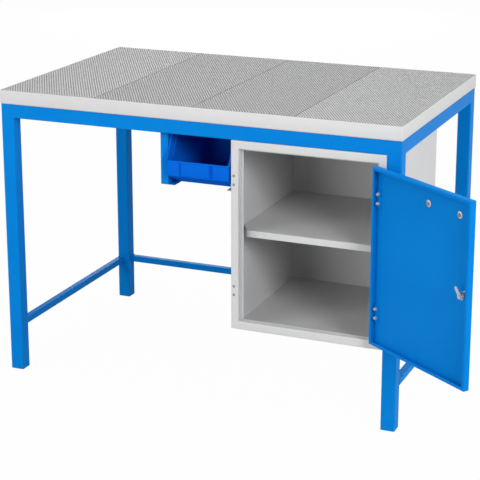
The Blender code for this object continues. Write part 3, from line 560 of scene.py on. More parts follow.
def tray_profile():
    """Floor underside, outer bend, rim, rounded cut edge, inner bend, floor: (pull, level)."""
    bend_at = (TRAY_BEND, tray_low.z + TRAY_BEND)
    edge_level = tray_high.z - CUT_ROUND
    profile = [(TRAY_REACH, tray_low.z)]
    profile += bend(bend_at, TRAY_BEND, 270, 180, 5)
    profile += bend((CUT_ROUND, edge_level), CUT_ROUND, 180, 90, 2)
    profile += bend((TRAY_SHEET - CUT_ROUND, edge_level), CUT_ROUND, 90, 0, 2)
    profile += bend(bend_at, TRAY_BEND - TRAY_SHEET, 180, 270, 3)
    return profile + [(TRAY_REACH, tray_low.z + TRAY_SHEET)]


def build_tray():
    """The profile carried round the rim, and both skins of the floor zipped to the drain's hole,
    whose wall is a ladder between its two circles."""
    grid = carried(tray_profile(), rectangle(tray_low, tray_high), TRAY_CORNER)
    rows, columns = grid.shape[:2]
    hole = circle(drain_middle, DRAIN_HOLE, DRAIN_SIDES)
    low_hole, high_hole = (np.column_stack([hole, np.full(DRAIN_SIDES, level)])
                           for level in (tray_low.z, tray_low.z + TRAY_SHEET))
    first_low = rows * columns
    first_high = first_low + DRAIN_SIDES
    last_ring = first_low - columns
    skin = zip_rings(grid[-1, :, :2], hole, drain_middle, turn=0.5)
    top = np.where(skin < columns, skin + last_ring, skin - columns + first_high)
    under = np.where(skin < columns, skin, skin - columns + first_low)
    wall = grid_faces(2, DRAIN_SIDES, first_low)
    faces = [grid_faces(rows, columns), top, under[:, ::-1], wall[:, ::-1]]
    return make_piece("tray_folded", np.concatenate([grid.reshape(-1, 3), low_hole, high_hole]),
                      faces, "table", "grey_powder_coat", ("tray",))


build_tray()

# %% [markdown]
# ## Perforated panels
# Each panel is sheet punched with round holes in a staggered pattern: every hole is one pitch from
# its six neighbours. A texture would fade on a low view, so the holes are real. The sheet is cut
# into brick-like cells, each with one eight-sided hole, and neighbouring bricks share the points
# of their edges. Arrays of numbers make all cells at once.

# %% Sizes of a panel
HOLE_RADIUS = 2.5 * MM
HOLE_SIDES = 8
PITCH_X = 8.0 * MM
PITCH_Y = PITCH_X * math.sin(math.radians(60.0))
PANEL_SHEET = 2.0 * MM
PANEL_ROUND = 0.7 * MM
PANEL_EDGE = 14.0 * MM    # depth of the short folds
PANEL_DRAIN = 45.0 * MM   # the deep side folds end this far from the ends, so that oil gets by
END_BRIDGE = 0.35 * MM    # sheet left beside a hole that the fold cuts
SEAM = 0.7 * MM           # folds of neighbours stand this much further apart than their solids
END_GAP = 1.8 * MM        # and the ends stand back from the tray's rim by this
END_FOLD = 1.5 * MM       # the end folds are stretched thinner, clear of the first row of holes
PANEL_SMOOTH = 30.0       # degrees
print("rows of holes are", round(PITCH_Y / MM, 2), "mm apart")


# %% Cells round the holes
def cell_table(columns, rows):
    """For each whole cell, the six grid points round it, against the clock. Even rows start a
    cell at the first column and odd rows half a pitch later, so that the holes are staggered."""
    row, cell = np.meshgrid(np.arange(rows), np.arange((columns - 1) // 2), indexing="ij")
    start = 2 * cell + row % 2
    whole = start + 2 < columns
    row, start = row[whole], start[whole]
    low, high = row * columns + start, (row + 1) * columns + start
    return np.stack([low, low + 1, low + 2, high + 2, high + 1, high], axis=-1)


def end_table(columns, rows, start):
    """The four grid points round the half cell at one end of each odd row."""
    row = np.arange(1, rows, 2)
    low, high = row * columns + start, (row + 1) * columns + start
    return np.stack([low, low + 1, high + 1, high], axis=-1)


print("a grid of 9 by 5 points has", len(cell_table(9, 4)), "cells and", 2 * len(end_table(9, 4, 0)),
      "half cells")

# %% Shapes of the holes
ROUND_HOLE = circle((0, 0), HOLE_RADIUS, HOLE_SIDES, math.pi / HOLE_SIDES)


def half_hole(side):
    """A hole cut by the fold at one side (-1 left, 1 right): half a circle and a flat."""
    arc = ROUND_HOLE[[6, 7, 0, 1]]
    flat = np.array([[END_BRIDGE, arc[-1, 1]], [END_BRIDGE, arc[0, 1]]])
    outline = np.concatenate([arc, flat])
    return outline if side < 0 else (outline * (-1, 1))[::-1]


def leaning(hole):
    """The lower end of a cut hole. The fold is thick there, so the flat stands further in, and
    the other points keep their share of the way from the arc's far side to the flat."""
    breadth = np.abs(hole[:, 0])
    arc_side = breadth.max()
    share = (arc_side - breadth) / (arc_side - END_BRIDGE)
    low_flat = PANEL_SHEET - PANEL_ROUND + END_BRIDGE
    below = arc_side - share * (arc_side - low_flat)
    return np.stack([np.sign(hole[:, 0]) * below, hole[:, 1]], axis=-1)


print("a hole cut at the left, in mm:", (half_hole(-1) / MM).round(1).tolist())


# %% Punch the holes
def panel_grid(half):
    """Flat points, row by row, on a grid half a pitch wide and one pitch high. Both are stretched
    a little, so that whole cells fill the panel (half is half its size)."""
    columns = 2 * round(2 * half[0] / PITCH_X) + 1
    rows = round(2 * half[1] / PITCH_Y)
    x = np.linspace(PANEL_ROUND - half[0], half[0] - PANEL_ROUND, columns)
    y = np.linspace(PANEL_ROUND - half[1], half[1] - PANEL_ROUND, rows + 1)
    return np.stack(np.meshgrid(x, y), axis=-1).reshape(-1, 2), columns, rows


def punched(flat, columns, rows):
    """The holes' rings (above and below) and the faces of both skins and of the holes' walls. One
    cell of each kind is zipped to its hole, and that pattern holds for all cells of the kind."""
    whole = cell_table(columns, rows)
    kinds = [(whole, flat[whole].mean(axis=1), ROUND_HOLE, ROUND_HOLE)]
    for side, start, at_fold in ((-1, 0, [0, 3]), (1, columns - 2, [1, 2])):
        ends = end_table(columns, rows, start)
        hole = half_hole(side)
        kinds.append((ends, flat[ends[:, at_fold]].mean(axis=1), hole, leaning(hole)))
    rings, top, below, wall = [], [], [], []
    first = 2 * len(flat)
    for around, middles, hole, low_hole in kinds:
        upper = first + np.arange(len(middles) * len(hole)).reshape(-1, len(hole))
        lower = upper + upper.size
        pattern = zip_rings(flat[around[0]] - middles[0], hole, hole.mean(axis=0))
        top.append(np.concatenate([around, upper], axis=1)[:, pattern].reshape(-1, 3))
        low_cells = np.concatenate([around + len(flat), lower], axis=1)
        below.append(low_cells[:, pattern[:, ::-1]].reshape(-1, 3))
        quads = [upper, np.roll(upper, -1, axis=1), np.roll(lower, -1, axis=1), lower]
        wall.append(np.stack(quads, axis=-1).reshape(-1, 4))
        rings.append([(middles[:, None] + ring).reshape(-1, 2) for ring in (hole, low_hole)])
        first += 2 * upper.size
    return rings, np.concatenate(top + below), wall


print("grid of a panel of 0.3 by 0.7 m:", panel_grid((0.15, 0.35))[1:], "columns and rows")

# %% [markdown]
# ## Folded edges of the panels
# Round its edge each panel's sheet folds down: at the front and the back it is a short edge, at the
# sides a deep one on which the panel stands. The edge points of the grid are pulled to rectangles
# of slightly different size at different levels, so the fold belongs to the same mesh as the
# holes, and light runs round it without a seam. From partway round its rounded top, the fold takes
# the near-black cut-edge finish, as painted shade in the seams between panels and in the gap at
# the tray's rim.


# %% Build the panels
def edge_loop(columns, rows):
    """Numbers of the grid's outer points, against the clock."""
    return np.concatenate([np.arange(columns), np.arange(1, rows + 1) * columns + columns - 1,
                           rows * columns + np.arange(columns - 2, -1, -1),
                           np.arange(rows - 1, 0, -1) * columns])


def build_panel(node, sheet):
    """A grid of points on top and one below, rings for the holes, and an edge that folds down."""
    low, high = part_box(node)
    middle = (low + high) / 2
    half = np.array([(high.x - low.x) / 2 - SEAM, (high.y - low.y) / 2 - END_GAP])
    fold = np.array([PANEL_SHEET, END_FOLD])
    level, under = high.z, high.z - PANEL_SHEET
    flat, columns, rows = panel_grid(half)
    rings, skins, wall = punched(flat, columns, rows)

    def raised(points, height):
        """Flat points from the panel's middle, at a height (one number, or one for each)."""
        height = np.broadcast_to(height, len(points))
        return np.column_stack([points[:, 0] + middle.x, points[:, 1] + middle.y, height])

    points = [raised(flat, level), raised(np.clip(flat, fold - half, half - fold), under)]
    for upper, lower in rings:
        points += [raised(upper, level), raised(lower, under)]

    loop = edge_loop(columns, rows)
    edge = flat[loop]
    at_edge = np.abs(np.abs(edge) - (half - PANEL_ROUND)) < MM
    deep = at_edge[:, 0] & (np.abs(edge[:, 1]) < half[1] - PANEL_DRAIN)
    foot = np.where(deep, low.z, high.z - PANEL_EDGE)

    def pulled(distance):
        """The edge points moved out to a rectangle that is this much smaller than the panel."""
        return np.where(at_edge, np.sign(edge) * (half - np.minimum(distance, fold)), edge)

    lean = PANEL_ROUND * (1 - math.sqrt(0.5))
    skirt = [raised(pulled(lean), level - lean), raised(pulled(0.0), level - PANEL_ROUND),
             raised(pulled(0.0), foot), raised(pulled(PANEL_SHEET), foot)]
    first, length = sum(len(part) for part in points), len(loop)
    numbers = first + np.arange(len(skirt) * length).reshape(-1, length)
    numbers = np.concatenate([[loop], numbers, [loop + len(flat)]])
    ahead = np.roll(numbers, -1, axis=1)
    bands = np.stack([numbers[:-1], numbers[1:], ahead[1:], ahead[:-1]], axis=-1).reshape(-1, 4)
    # The holes' walls and the fold below its rounded top take the cut-edge finish: painted shade in
    # the holes, the seams and the gap at the rim.
    faces = [skins, bands[:length], np.concatenate([*wall, bands[length:]])]
    return make_piece(node + "_punched", np.concatenate(points + skirt), faces, node,
                      "perforated_steel", (node,), smooth=PANEL_SMOOTH, finish=sheet,
                      other=(2, CUT_EDGE_AND_PAINTED_SHADE))


for number, sheet in enumerate(SHEETS):
    build_panel(f"panel_{number + 1}", sheet)

# %% [markdown]
# ## Door
# The door is a shallow pan: a face sheet whose four edges fold back twice, so that no cut edge
# shows. It stands open and shows its hollow inside. It is drawn closed, where the folds are easy to
# write, and its points are then turned about the hinge pin, as the real door is.

# %% Door pan
DOOR_OPEN = math.radians(145.0)
DOOR_SHEET = 1.2 * MM
DOOR_DEPTH = 18.0 * MM
DOOR_LIP = 9.0 * MM
DOOR_BEND = 2.0 * MM
DOOR_CORNER = 1.5 * MM
DOOR_REACH = 30.0 * MM    # breadth of the face that still follows the edges
DOOR_PLAY = 3.0 * MM
HINGE_SIDE = 2.0 * MM     # from the opening's edge to the pin
pin_low, pin_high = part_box("hinge_pin_upper")
pin = (pin_low + pin_high) / 2
frame_low, frame_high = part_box("cabinet_front_frame")
door_low, door_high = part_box("door")
face_y = frame_low.y
DOOR_RIGHT = pin.x - HINGE_SIDE - DOOR_PLAY
DOOR_LEFT = frame_low.x + (frame_high.x - DOOR_RIGHT)


def opened(points):
    """Points of the closed door, turned about the pin to where it stands."""
    points = np.asarray(points, dtype=float)
    away = points[..., :2] - np.array([pin.x, pin.y])
    turn = np.array([[math.cos(DOOR_OPEN), math.sin(DOOR_OPEN)],
                     [-math.sin(DOOR_OPEN), math.cos(DOOR_OPEN)]])
    return np.concatenate([away @ turn + np.array([pin.x, pin.y]), points[..., 2:]], axis=-1)


def upright(grid):
    """A grid drawn flat (across, up, back) stood up in the table's axes (across, back, up)."""
    return grid[..., [0, 2, 1]]


def build_door():
    """Profile: face, bend, flange, bend, lip, its cut edge, and back along the inside."""
    back = face_y + DOOR_DEPTH
    front_bend = (DOOR_BEND, face_y + DOOR_BEND)
    back_bend = (DOOR_BEND, back - DOOR_BEND)
    inner = DOOR_BEND - DOOR_SHEET
    profile = [(DOOR_REACH, face_y)]
    profile += bend(front_bend, DOOR_BEND, 270, 180, 4)
    profile += bend(back_bend, DOOR_BEND, 180, 90, 4)
    profile += bend((DOOR_LIP - CUT_ROUND, back - CUT_ROUND), CUT_ROUND, 90, 0, 2)
    profile += [(DOOR_LIP, back - DOOR_SHEET)]
    profile += bend(back_bend, inner, 90, 180, 2)
    profile += bend(front_bend, inner, 180, 270, 2)
    profile += [(DOOR_REACH, face_y + DOOR_SHEET)]
    corners = rectangle((DOOR_LEFT, door_low.z), (DOOR_RIGHT, door_high.z))
    grid = carried(profile, corners, DOOR_CORNER)
    rows, columns = grid.shape[:2]
    ring = np.roll(np.arange(columns), -columns // 4)
    faces = [grid_faces(rows, columns), ladder_faces(ring)[:, ::-1],
             ladder_faces(ring + (rows - 1) * columns)]
    return make_piece("door_pan", opened(upright(grid)), faces, "door", "blue_powder_coat",
                      ("door",), flip=True)


build_door()

# %% [markdown]
# ## Face frame of the cabinet
# The frame round the cabinet's mouth is folded too: outer flange, face, a return into the mouth, and
# a narrow lip that stops the door. The profile is a closed loop, so the piece closes on itself.
# The left stile has spare holes for hinges on that side. There are only four of them, so they are
# cut with a Boolean modifier, whose result is kept as the mesh.

# %% Face frame
CABINET_SHEET = 1.2 * MM
FRAME_BEND = 1.8 * MM
FRAME_CORNER = 1.5 * MM
STILE = 22.0 * MM         # breadth of the face at the sides
SILL = 23.0 * MM          # and below and above
STOP_LIP = 7.0 * MM       # the lip that the door meets
SILL_LIP = 0.8 * MM       # its height on the sill, where things slide over it
HINGE_HOLE = 2.9 * MM     # radius
HINGE_SIDES = 24


def drilled(piece, places, radius):
    """Cuts round holes along the table's depth, and keeps the cut mesh."""
    ring_numbers = np.arange(HINGE_SIDES)[None]
    sides = [grid_faces(2, HINGE_SIDES)[:, ::-1], ring_numbers, ring_numbers[:, ::-1] + HINGE_SIDES]
    faces = sum((part.tolist() for part in sides), [])
    for x, y, z in places:
        ring = circle((x, z), radius, HINGE_SIDES)
        front = np.column_stack([ring[:, 0], np.full(HINGE_SIDES, y - STILE), ring[:, 1]])
        back = front + np.array([0.0, 2 * STILE, 0.0])
        mesh = bpy.data.meshes.new("hole")
        mesh.from_pydata(np.concatenate([front, back]).tolist(), [], faces)
        tool = bpy.data.objects.new("hole", mesh)
        bpy.context.scene.collection.objects.link(tool)
        cut = piece.modifiers.new("hole", "BOOLEAN")
        cut.operation = "DIFFERENCE"
        cut.object = tool
    bpy.context.view_layer.update()
    seen = piece.evaluated_get(bpy.context.evaluated_depsgraph_get())
    cut_mesh = bpy.data.meshes.new_from_object(seen)
    tools = [cut.object for cut in piece.modifiers]
    piece.modifiers.clear()
    piece.data = cut_mesh
    cut_mesh.shade_smooth()
    cut_mesh.set_sharp_from_angle(angle=math.radians(SHARP_ANGLE))
    for tool in tools:
        bpy.data.objects.remove(tool)
    return piece


def frame_profile():
    """A closed loop of (pull, depth): flange, face, return, stop lip, and back along the inside."""
    stop = frame_high.y
    lip = STILE + STOP_LIP
    outer_bend = (FRAME_BEND, face_y + FRAME_BEND)
    inner_bend = (STILE - FRAME_BEND, face_y + FRAME_BEND)
    inside = FRAME_BEND - CABINET_SHEET
    profile = [(0.0, stop)]
    profile += bend(outer_bend, FRAME_BEND, 180, 270, 4)
    profile += bend(inner_bend, FRAME_BEND, 270, 360, 4)
    profile += [(STILE, stop - CABINET_SHEET)]
    profile += bend((lip - CUT_ROUND, stop - CABINET_SHEET + CUT_ROUND), CUT_ROUND, 270, 360, 2)
    profile += [(lip, stop), (STILE - CABINET_SHEET, stop)]
    profile += bend(inner_bend, inside, 0, -90, 2)
    profile += bend(outer_bend, inside, 270, 180, 2)
    return profile + [(CABINET_SHEET, stop)]


def build_face_frame():
    """The profile carried round the frame. Sill and head are a little taller than the stiles are
    wide, so their points move by their share of the difference. The stop lip is lower on the
    sill: heights above the sill shrink in proportion."""
    profile = frame_profile()
    low, high = (frame_low.x, frame_low.z), (frame_high.x, frame_high.z)
    grid = carried(profile, rectangle(low, high), FRAME_CORNER)
    pull = np.array([pull for pull, level in profile])
    extra = (SILL - STILE) * np.clip(pull / STILE, 0, 1)[:, None]
    middle_z = (low[1] + high[1]) / 2
    grid[..., 1] -= np.sign(grid[..., 1] - middle_z) * extra
    above_sill = grid[..., 1] - (low[1] + SILL)
    on_sill = (above_sill > 0) & (grid[..., 1] < middle_z)
    grid[..., 1] -= np.where(on_sill, above_sill * (1 - SILL_LIP / STOP_LIP), 0.0)
    faces = [grid_faces(*grid.shape[:2], wrap_rows=True)]
    piece = make_piece("cabinet_face_frame", upright(grid), faces, "table", "grey_powder_coat",
                       ("cabinet_front_frame",), flip=True)
    return drilled(piece, SPARE_HOLES, HINGE_HOLE)


def spare_holes():
    """The hinge screws' places, mirrored to the other stile: the door can hang on either side."""
    places = []
    for level in ("upper", "lower"):
        for number in (1, 2):
            low_end, high_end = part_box(f"hinge_screw_stile_{level}_{number}")
            centre = (low_end + high_end) / 2
            places.append((frame_low.x + frame_high.x - centre.x, face_y, centre.z))
    return places


SPARE_HOLES = spare_holes()
build_face_frame()

# %% [markdown]
# ## Shelf
# The shelf is a shallow folded tray turned over. Its front corners are cut off so that it can be
# tilted in past the stop lip, and its edges are folded down. It could be a plate with a bevel, but
# the fold shows from below, so it is a profile carried round an outline of six corners.

# %% Shelf
SHELF_BEND = 2.5 * MM
SHELF_REACH = 20.0 * MM   # breadth of the top that still follows the edges
SHELF_ROUND = 1.0 * MM
SHELF_CORNER_X = 26.0 * MM
SHELF_CORNER_Y = 53.0 * MM
shelf_low, shelf_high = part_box("shelf")


def build_shelf():
    """Profile: top, bend, edge fold, its cut edge, and back along the underside."""
    inner = SHELF_BEND - CABINET_SHEET
    top = shelf_high.z
    profile = [(SHELF_REACH, top - CABINET_SHEET)]
    profile += bend((SHELF_BEND, top - SHELF_BEND), inner, 90, 180, 2)
    profile += [(CABINET_SHEET, shelf_low.z), (0.0, shelf_low.z)]
    profile += bend((SHELF_BEND, top - SHELF_BEND), SHELF_BEND, 180, 90, 5)
    profile += [(SHELF_REACH, top)]
    x0, y0, x1, y1 = shelf_low.x, shelf_low.y, shelf_high.x, shelf_high.y
    corners = [(x0 + SHELF_CORNER_X, y0), (x1 - SHELF_CORNER_X, y0), (x1, y0 + SHELF_CORNER_Y),
               (x1, y1), (x0, y1), (x0, y0 + SHELF_CORNER_Y)]
    grid = carried(profile, corners, SHELF_ROUND, 2)
    rows, columns = grid.shape[:2]
    ring = np.roll(np.arange(columns), -columns // 6)
    faces = [grid_faces(rows, columns), ladder_faces(ring)[:, ::-1],
             ladder_faces(ring + (rows - 1) * columns)]
    return make_piece("shelf_folded", grid, faces, "table", "grey_powder_coat", ("shelf",))


build_shelf()

# %% [markdown]
# ## Storage bin
# An open-fronted stacking bin, moulded in one piece. The walls end in a narrow rim with a skirt, the
# sides rise in a slope from the low front, and the base starts behind the front wall, so a hand can
# grip below it. It could be a box cut by slanted planes, but each cut would leave the rim to be
# mended. Instead every point of the outline has its own lowest and highest level, and the profile
# says which share of that height it is at. That one rule gives walls, slope, rim and base.

# %% Sizes of the bin
BIN_WALL = 2.5 * MM
BIN_RIM = 2.0 * MM        # how far the rim stands out at the sides
BIN_RIM_HEIGHT = 4.0 * MM
BIN_CORNER = 9.0 * MM
BIN_CORNER_STEPS = 5
BIN_FRONT_OUT = 2.2 * MM  # and at the front
BIN_FRONT_HEIGHT = 74.5 * MM
BIN_FRONT_WALL_BOTTOM = 30.0 * MM
BIN_BASE_BACK = 64.0 * MM
BIN_SLOPE_START = 7.0 * MM
BIN_SLOPE_RUN = 44.0 * MM
BIN_EASE = 4.0 * MM       # a slope's ends are eased over this
BIN_ROUND = 3.0 * MM
BIN_LEDGE = 5.6 * MM      # depth of the rim at the front
BIN_FLOOR = 6.0 * MM      # breadth of floor that still follows the walls
BIN_DRAFT = 0.3 * MM      # the inner wall leans in by this under the rim
BIN_SMOOTH = 40.0         # degrees
bin_low, bin_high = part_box("bin")
print("the bin is", [round(value / MM) for value in bin_high - bin_low], "mm in all")


# %% Bin
def bin_levels(y):
    """Lowest and highest level of the bin at a depth: the base slopes up to the front wall, and
    the rim slopes down to it. Both are worked out with clipped straight lines."""
    behind = y - (bin_low.y + BIN_SLOPE_START)
    base = 1 - behind / (BIN_BASE_BACK - BIN_SLOPE_START)
    lowest = bin_low.z + BIN_FRONT_WALL_BOTTOM * np.clip(base, 0, 1)
    slope = behind / (BIN_SLOPE_RUN - BIN_SLOPE_START)
    full = bin_high.z - bin_low.z
    highest = bin_low.z + BIN_FRONT_HEIGHT + (full - BIN_FRONT_HEIGHT) * np.clip(slope, 0, 1)
    return lowest, highest


def bin_outline(ahead):
    """Corners of the rim's outline, its front moved ahead. Extra points on the sides follow the
    slopes' ends."""
    x0, x1, y0, y1 = bin_low.x, bin_high.x, bin_low.y, bin_high.y
    stops = [y0 + end + step for end in (BIN_SLOPE_RUN, BIN_BASE_BACK)
             for step in (-BIN_EASE, 0.0, BIN_EASE)]
    right = [(x1, y) for y in stops]
    left = [(x0, y) for y in reversed(stops)]
    return [(x0, y0 - ahead), (x1, y0 - ahead), *right, (x1, y1), (x0, y1), *left]


def bin_rows():
    """Rows of (pull, share of the height, rise, pull at the front): base, wall, the rim's skirt
    and rounded top, and the inner wall. The front's rim is a little deeper, so its pull is given
    apart."""
    out, inside, round_in = BIN_RIM, BIN_RIM + BIN_WALL, BIN_WALL + BIN_ROUND
    wall, inner = BIN_FRONT_OUT, BIN_FRONT_OUT + BIN_WALL
    near, far = 0.3 * BIN_ROUND, BIN_ROUND + BIN_FLOOR
    return [(out + far, 0, 0.0, wall + far),
            (out + BIN_ROUND, 0, 0.0, wall + BIN_ROUND),
            (out + near, 0, near, wall + near),
            (out, 0, BIN_ROUND, wall), (out, 1, -BIN_RIM_HEIGHT, wall),
            (0.3 * MM, 1, -BIN_RIM_HEIGHT, 0.1 * MM),
            (0.0, 1, 0.4 * MM - BIN_RIM_HEIGHT, 0.0), (0.0, 1, -0.9 * MM, 0.0),
            (0.3 * MM, 1, -0.3 * MM, 0.3 * MM), (1.0 * MM, 1, 0.0, 1.0 * MM),
            (inside - 1.0 * MM, 1, 0.0, BIN_LEDGE - 1.2 * MM),
            (inside - 0.3 * MM, 1, -0.3 * MM, BIN_LEDGE - 0.3 * MM),
            (inside, 1, -0.9 * MM, BIN_LEDGE), (inside + 0.1 * MM, 1, -3.0 * MM, BIN_LEDGE),
            (inside + 0.2 * MM, 1, -3.6 * MM, inner + 0.2 * MM),
            (inside + BIN_DRAFT, 1, -4.4 * MM, inner),
            (inside + BIN_DRAFT, 0, round_in, inner),
            (inside + near, 0, BIN_WALL + near, inner + near),
            (inside + BIN_ROUND, 0, BIN_WALL, inner + BIN_ROUND),
            (inside + far, 0, BIN_WALL, inner + far)]


def build_bin():
    """One outline ring for each row. A point's level goes from its lowest to its highest by the
    row's share, and then up by the row's rise."""
    rows = bin_rows()
    rings = np.stack([outline_ring(bin_outline(pull - front), pull, BIN_CORNER,
                                   BIN_CORNER_STEPS)
                      for pull, share, rise, front in rows])
    lowest, highest = bin_levels(rings[..., 1])
    share, rise = (np.array(rows)[:, column, None] for column in (1, 2))
    level = lowest * (1 - share) + highest * share + rise
    grid = np.concatenate([rings, level[..., None]], axis=2)
    count, columns = grid.shape[:2]
    ring = np.roll(np.arange(columns), -BIN_CORNER_STEPS - 1)
    faces = [grid_faces(count, columns), ladder_faces(ring)[:, ::-1],
             ladder_faces(ring + (count - 1) * columns)]
    return make_piece("bin_moulded", grid, faces, "bin", "bin_plastic", ("bin",),
                      smooth=BIN_SMOOTH)


build_bin()

# %% [markdown]
# ## Handle
# The bow handle is a bent round rod with a wider foot at each end, where the screw pulls it on to
# the door. A bevelled curve would give the rod but not the feet, so a circle is carried along the
# rod's centre line, and its radius grows at the feet.

# %% Bow handle
HANDLE_ROD = 5.0 * MM     # radius
HANDLE_BEND = 12.0 * MM
HANDLE_REACH = 32.0 * MM
HANDLE_GAP = 0.3 * MM     # between the foot and the door's coat
HANDLE_SIDES = 20
BEND_STEPS = 9
FOOT_LEVELS = np.array([0.0, 1.0, 2.5, 4.0, 6.0]) * MM          # over the door
FOOT_GROWTH = np.array([1.28, 1.28, 1.1008, 1.024, 0.9984])     # of the rod's radius there


def closed_again(point):
    """Where a point of the open door is when the door is closed."""
    away = Vector((point.x - pin.x, point.y - pin.y, 0))
    away.rotate(Matrix.Rotation(-DOOR_OPEN, 3, "Z"))
    return Vector((pin.x + away.x, pin.y + away.y, point.z))


def build_handle():
    """Centre line: straight out, a quarter turn, across, a quarter turn, straight back. The
    circle stands across the line: one of its axes is upright, the other is the line turned."""
    ends = [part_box(f"handle_screw_{number}") for number in (1, 2)]
    feet = [closed_again((low + high) / 2) for low, high in ends]
    feet.sort(key=lambda foot: foot.x)
    base = face_y - HANDLE_GAP
    out = base - HANDLE_REACH
    turn = np.linspace(0, math.pi / 2, BEND_STEPS)
    half = np.concatenate([
        np.stack([np.full(len(FOOT_LEVELS), feet[0].x), base - FOOT_LEVELS], axis=-1),
        np.stack([feet[0].x + HANDLE_BEND * (1 - np.cos(turn)),
                  out + HANDLE_BEND * (1 - np.sin(turn))], axis=-1)])
    other = np.stack([feet[0].x + feet[1].x - half[::-1, 0], half[::-1, 1]], axis=-1)
    line = np.concatenate([half, other])
    run = np.gradient(line, axis=0)
    run /= np.linalg.norm(run, axis=1, keepdims=True)
    across = np.stack([-run[:, 1], run[:, 0]], axis=-1)
    rod = np.full(len(line) - 2 * len(FOOT_GROWTH), FOOT_GROWTH[-1])
    radius = HANDLE_ROD * np.concatenate([FOOT_GROWTH, rod, FOOT_GROWTH[::-1]])
    angle = np.linspace(0, 2 * math.pi, HANDLE_SIDES, endpoint=False)
    flat = line[:, None] + (radius[:, None] * np.cos(angle))[..., None] * across[:, None]
    level = feet[0].z + radius[:, None] * np.sin(angle)
    grid = np.concatenate([flat, level[..., None]], axis=2)
    rows, columns = grid.shape[:2]
    ring = np.arange(columns)
    faces = [grid_faces(rows, columns), ring[None, ::-1], (ring + (rows - 1) * columns)[None]]
    return make_piece("bow_handle", opened(grid), faces, "door", "black_plastic", ("handle",))


build_handle()

# %% [markdown]
# ## Strips on a face
# A rib, a weld bead and a ground weld are all a low rounded strip on a face. One function carries
# half an ellipse from a start to an end. Its back is sunk a little, because a strip that only
# touched the face would show a dark slit under it.

# %% Strips on a face
STRIP_SUNK = 0.4 * MM
WELD_PITCH = 2.4 * MM     # between the ripples of a bead
STRIP_SMOOTH = 50.0       # degrees


def strip(start, end, out, width, height, sunk=STRIP_SUNK, ripple=0.0, steps=2):
    """A grid of points: half an ellipse (width, height) round the line from start to end, with its
    ends closed by caps and its back sunk in the face. Height varies as 1 + ripple * |sin|."""
    start, end, out = (np.array(value, dtype=float) for value in (start, end, out))
    run = end - start
    length = np.linalg.norm(run)
    out /= np.linalg.norm(out)
    across = np.cross(run / length, out)
    share = np.linspace(0, 1, steps)
    angle = np.radians(np.linspace(0.0, 180.0, 7))
    side = np.concatenate([width / 2 * np.cos(angle), [-width / 2, width / 2]])
    swell = 1 + ripple * np.abs(np.sin(np.pi * share * length / WELD_PITCH))
    rise = height * np.sin(angle)[None] * swell[:, None]
    rise = np.concatenate([rise, np.full((steps, 2), -sunk)], axis=1)
    line = start + share[:, None] * run
    return line[:, None] + side[None, :, None] * across + rise[..., None] * out


def strips_piece(name, grids, body, slot_name, nodes=(), finish=None):
    """Joins strips into one piece. Each gets its quads and two end caps."""
    quads, caps, first = [], [], 0
    for grid in grids:
        rows, columns = grid.shape[:2]
        ring = first + np.arange(columns)
        quads.append(grid_faces(rows, columns, first))
        caps += [ring[None, ::-1], (ring + (rows - 1) * columns)[None]]
        first += rows * columns
    points = np.concatenate([grid.reshape(-1, 3) for grid in grids])
    return make_piece(name, points, [np.concatenate(quads), *caps], body, slot_name, nodes,
                      smooth=STRIP_SMOOTH, flip=True, finish=finish)


print("points round a strip:", strip((0, 0, 0), (1, 0, 0), (0, 0, 1), 1.0, 1.0).shape[1])

# %% [markdown]
# ## Ribs of the bin
# On its front wall the bin has a holder for a card: upright ribs in pairs, with a slot between two
# of a pair, and one rib below. Inside, a guide on each side wall holds a divider. They are moulded
# with the bin, so they have its finish, but as strips they keep their own sharp shapes.

# %% Ribs of the bin
LABEL_LEFT = 0.234        # shares of the front wall's breadth
LABEL_RIGHT = 0.745
LABEL_FOOT = 5.0 * MM     # over the front wall's lower edge
LABEL_HEAD = 1.0 * MM     # under the rim's skirt
SLOT_HALF = 1.3 * MM      # half the distance between the two ribs of a pair
SECOND_PAIR = 6.0 * MM    # from the last pair to the one before it
CARD_RIB = (1.5 * MM, 2.1 * MM)         # width and height of an upright rib
FOOT_RIB = (2.0 * MM, 1.4 * MM)         # and of the one on which the card stands
GUIDE_RIB = (4.0 * MM, 3.6 * MM)
GUIDE_BACK = 33.0 * MM    # guides in the bin follow the slope of its sides, this far behind
GUIDE_SHORT = 2.0 * MM    # and end this far below the rim


def build_label_holder():
    """Upright pairs of thin ribs, each with a dark slot between, and one rib below, on the bin's
    front wall: a card slides in from above."""
    wall_y = bin_low.y + BIN_FRONT_OUT
    breadth = bin_high.x - bin_low.x - 2 * BIN_RIM
    left, right = (bin_low.x + BIN_RIM + share * breadth for share in (LABEL_LEFT, LABEL_RIGHT))
    low = bin_low.z + BIN_FRONT_WALL_BOTTOM + LABEL_FOOT
    high = bin_low.z + BIN_FRONT_HEIGHT - BIN_RIM_HEIGHT - LABEL_HEAD
    out = (0, -1, 0)
    uprights = [pair + half for pair in (left, right - SECOND_PAIR, right)
                for half in (-SLOT_HALF, SLOT_HALF)]
    ribs = [strip((x, wall_y, low), (x, wall_y, high), out, *CARD_RIB) for x in uprights]
    ribs.append(strip((left, wall_y, low), (right, wall_y, low), out, *FOOT_RIB))
    return strips_piece("bin_label_holder", ribs, "bin", "bin_plastic")


def build_guides():
    """A rib on the inside of each side wall, level with the rim's slope but further back: a
    divider slides down behind it."""
    inset = BIN_RIM + BIN_WALL + BIN_DRAFT
    front = bin_low.y + BIN_SLOPE_START + GUIDE_BACK
    back = bin_low.y + BIN_SLOPE_RUN + GUIDE_BACK
    low, high = bin_low.z + BIN_FRONT_HEIGHT, bin_high.z - GUIDE_SHORT
    guides = [strip((x, front, low), (x, back, high), (out, 0, 0), *GUIDE_RIB)
              for x, out in ((bin_low.x + inset, 1), (bin_high.x - inset, -1))]
    return strips_piece("bin_guides", guides, "bin", "bin_plastic")


build_label_holder()
build_guides()

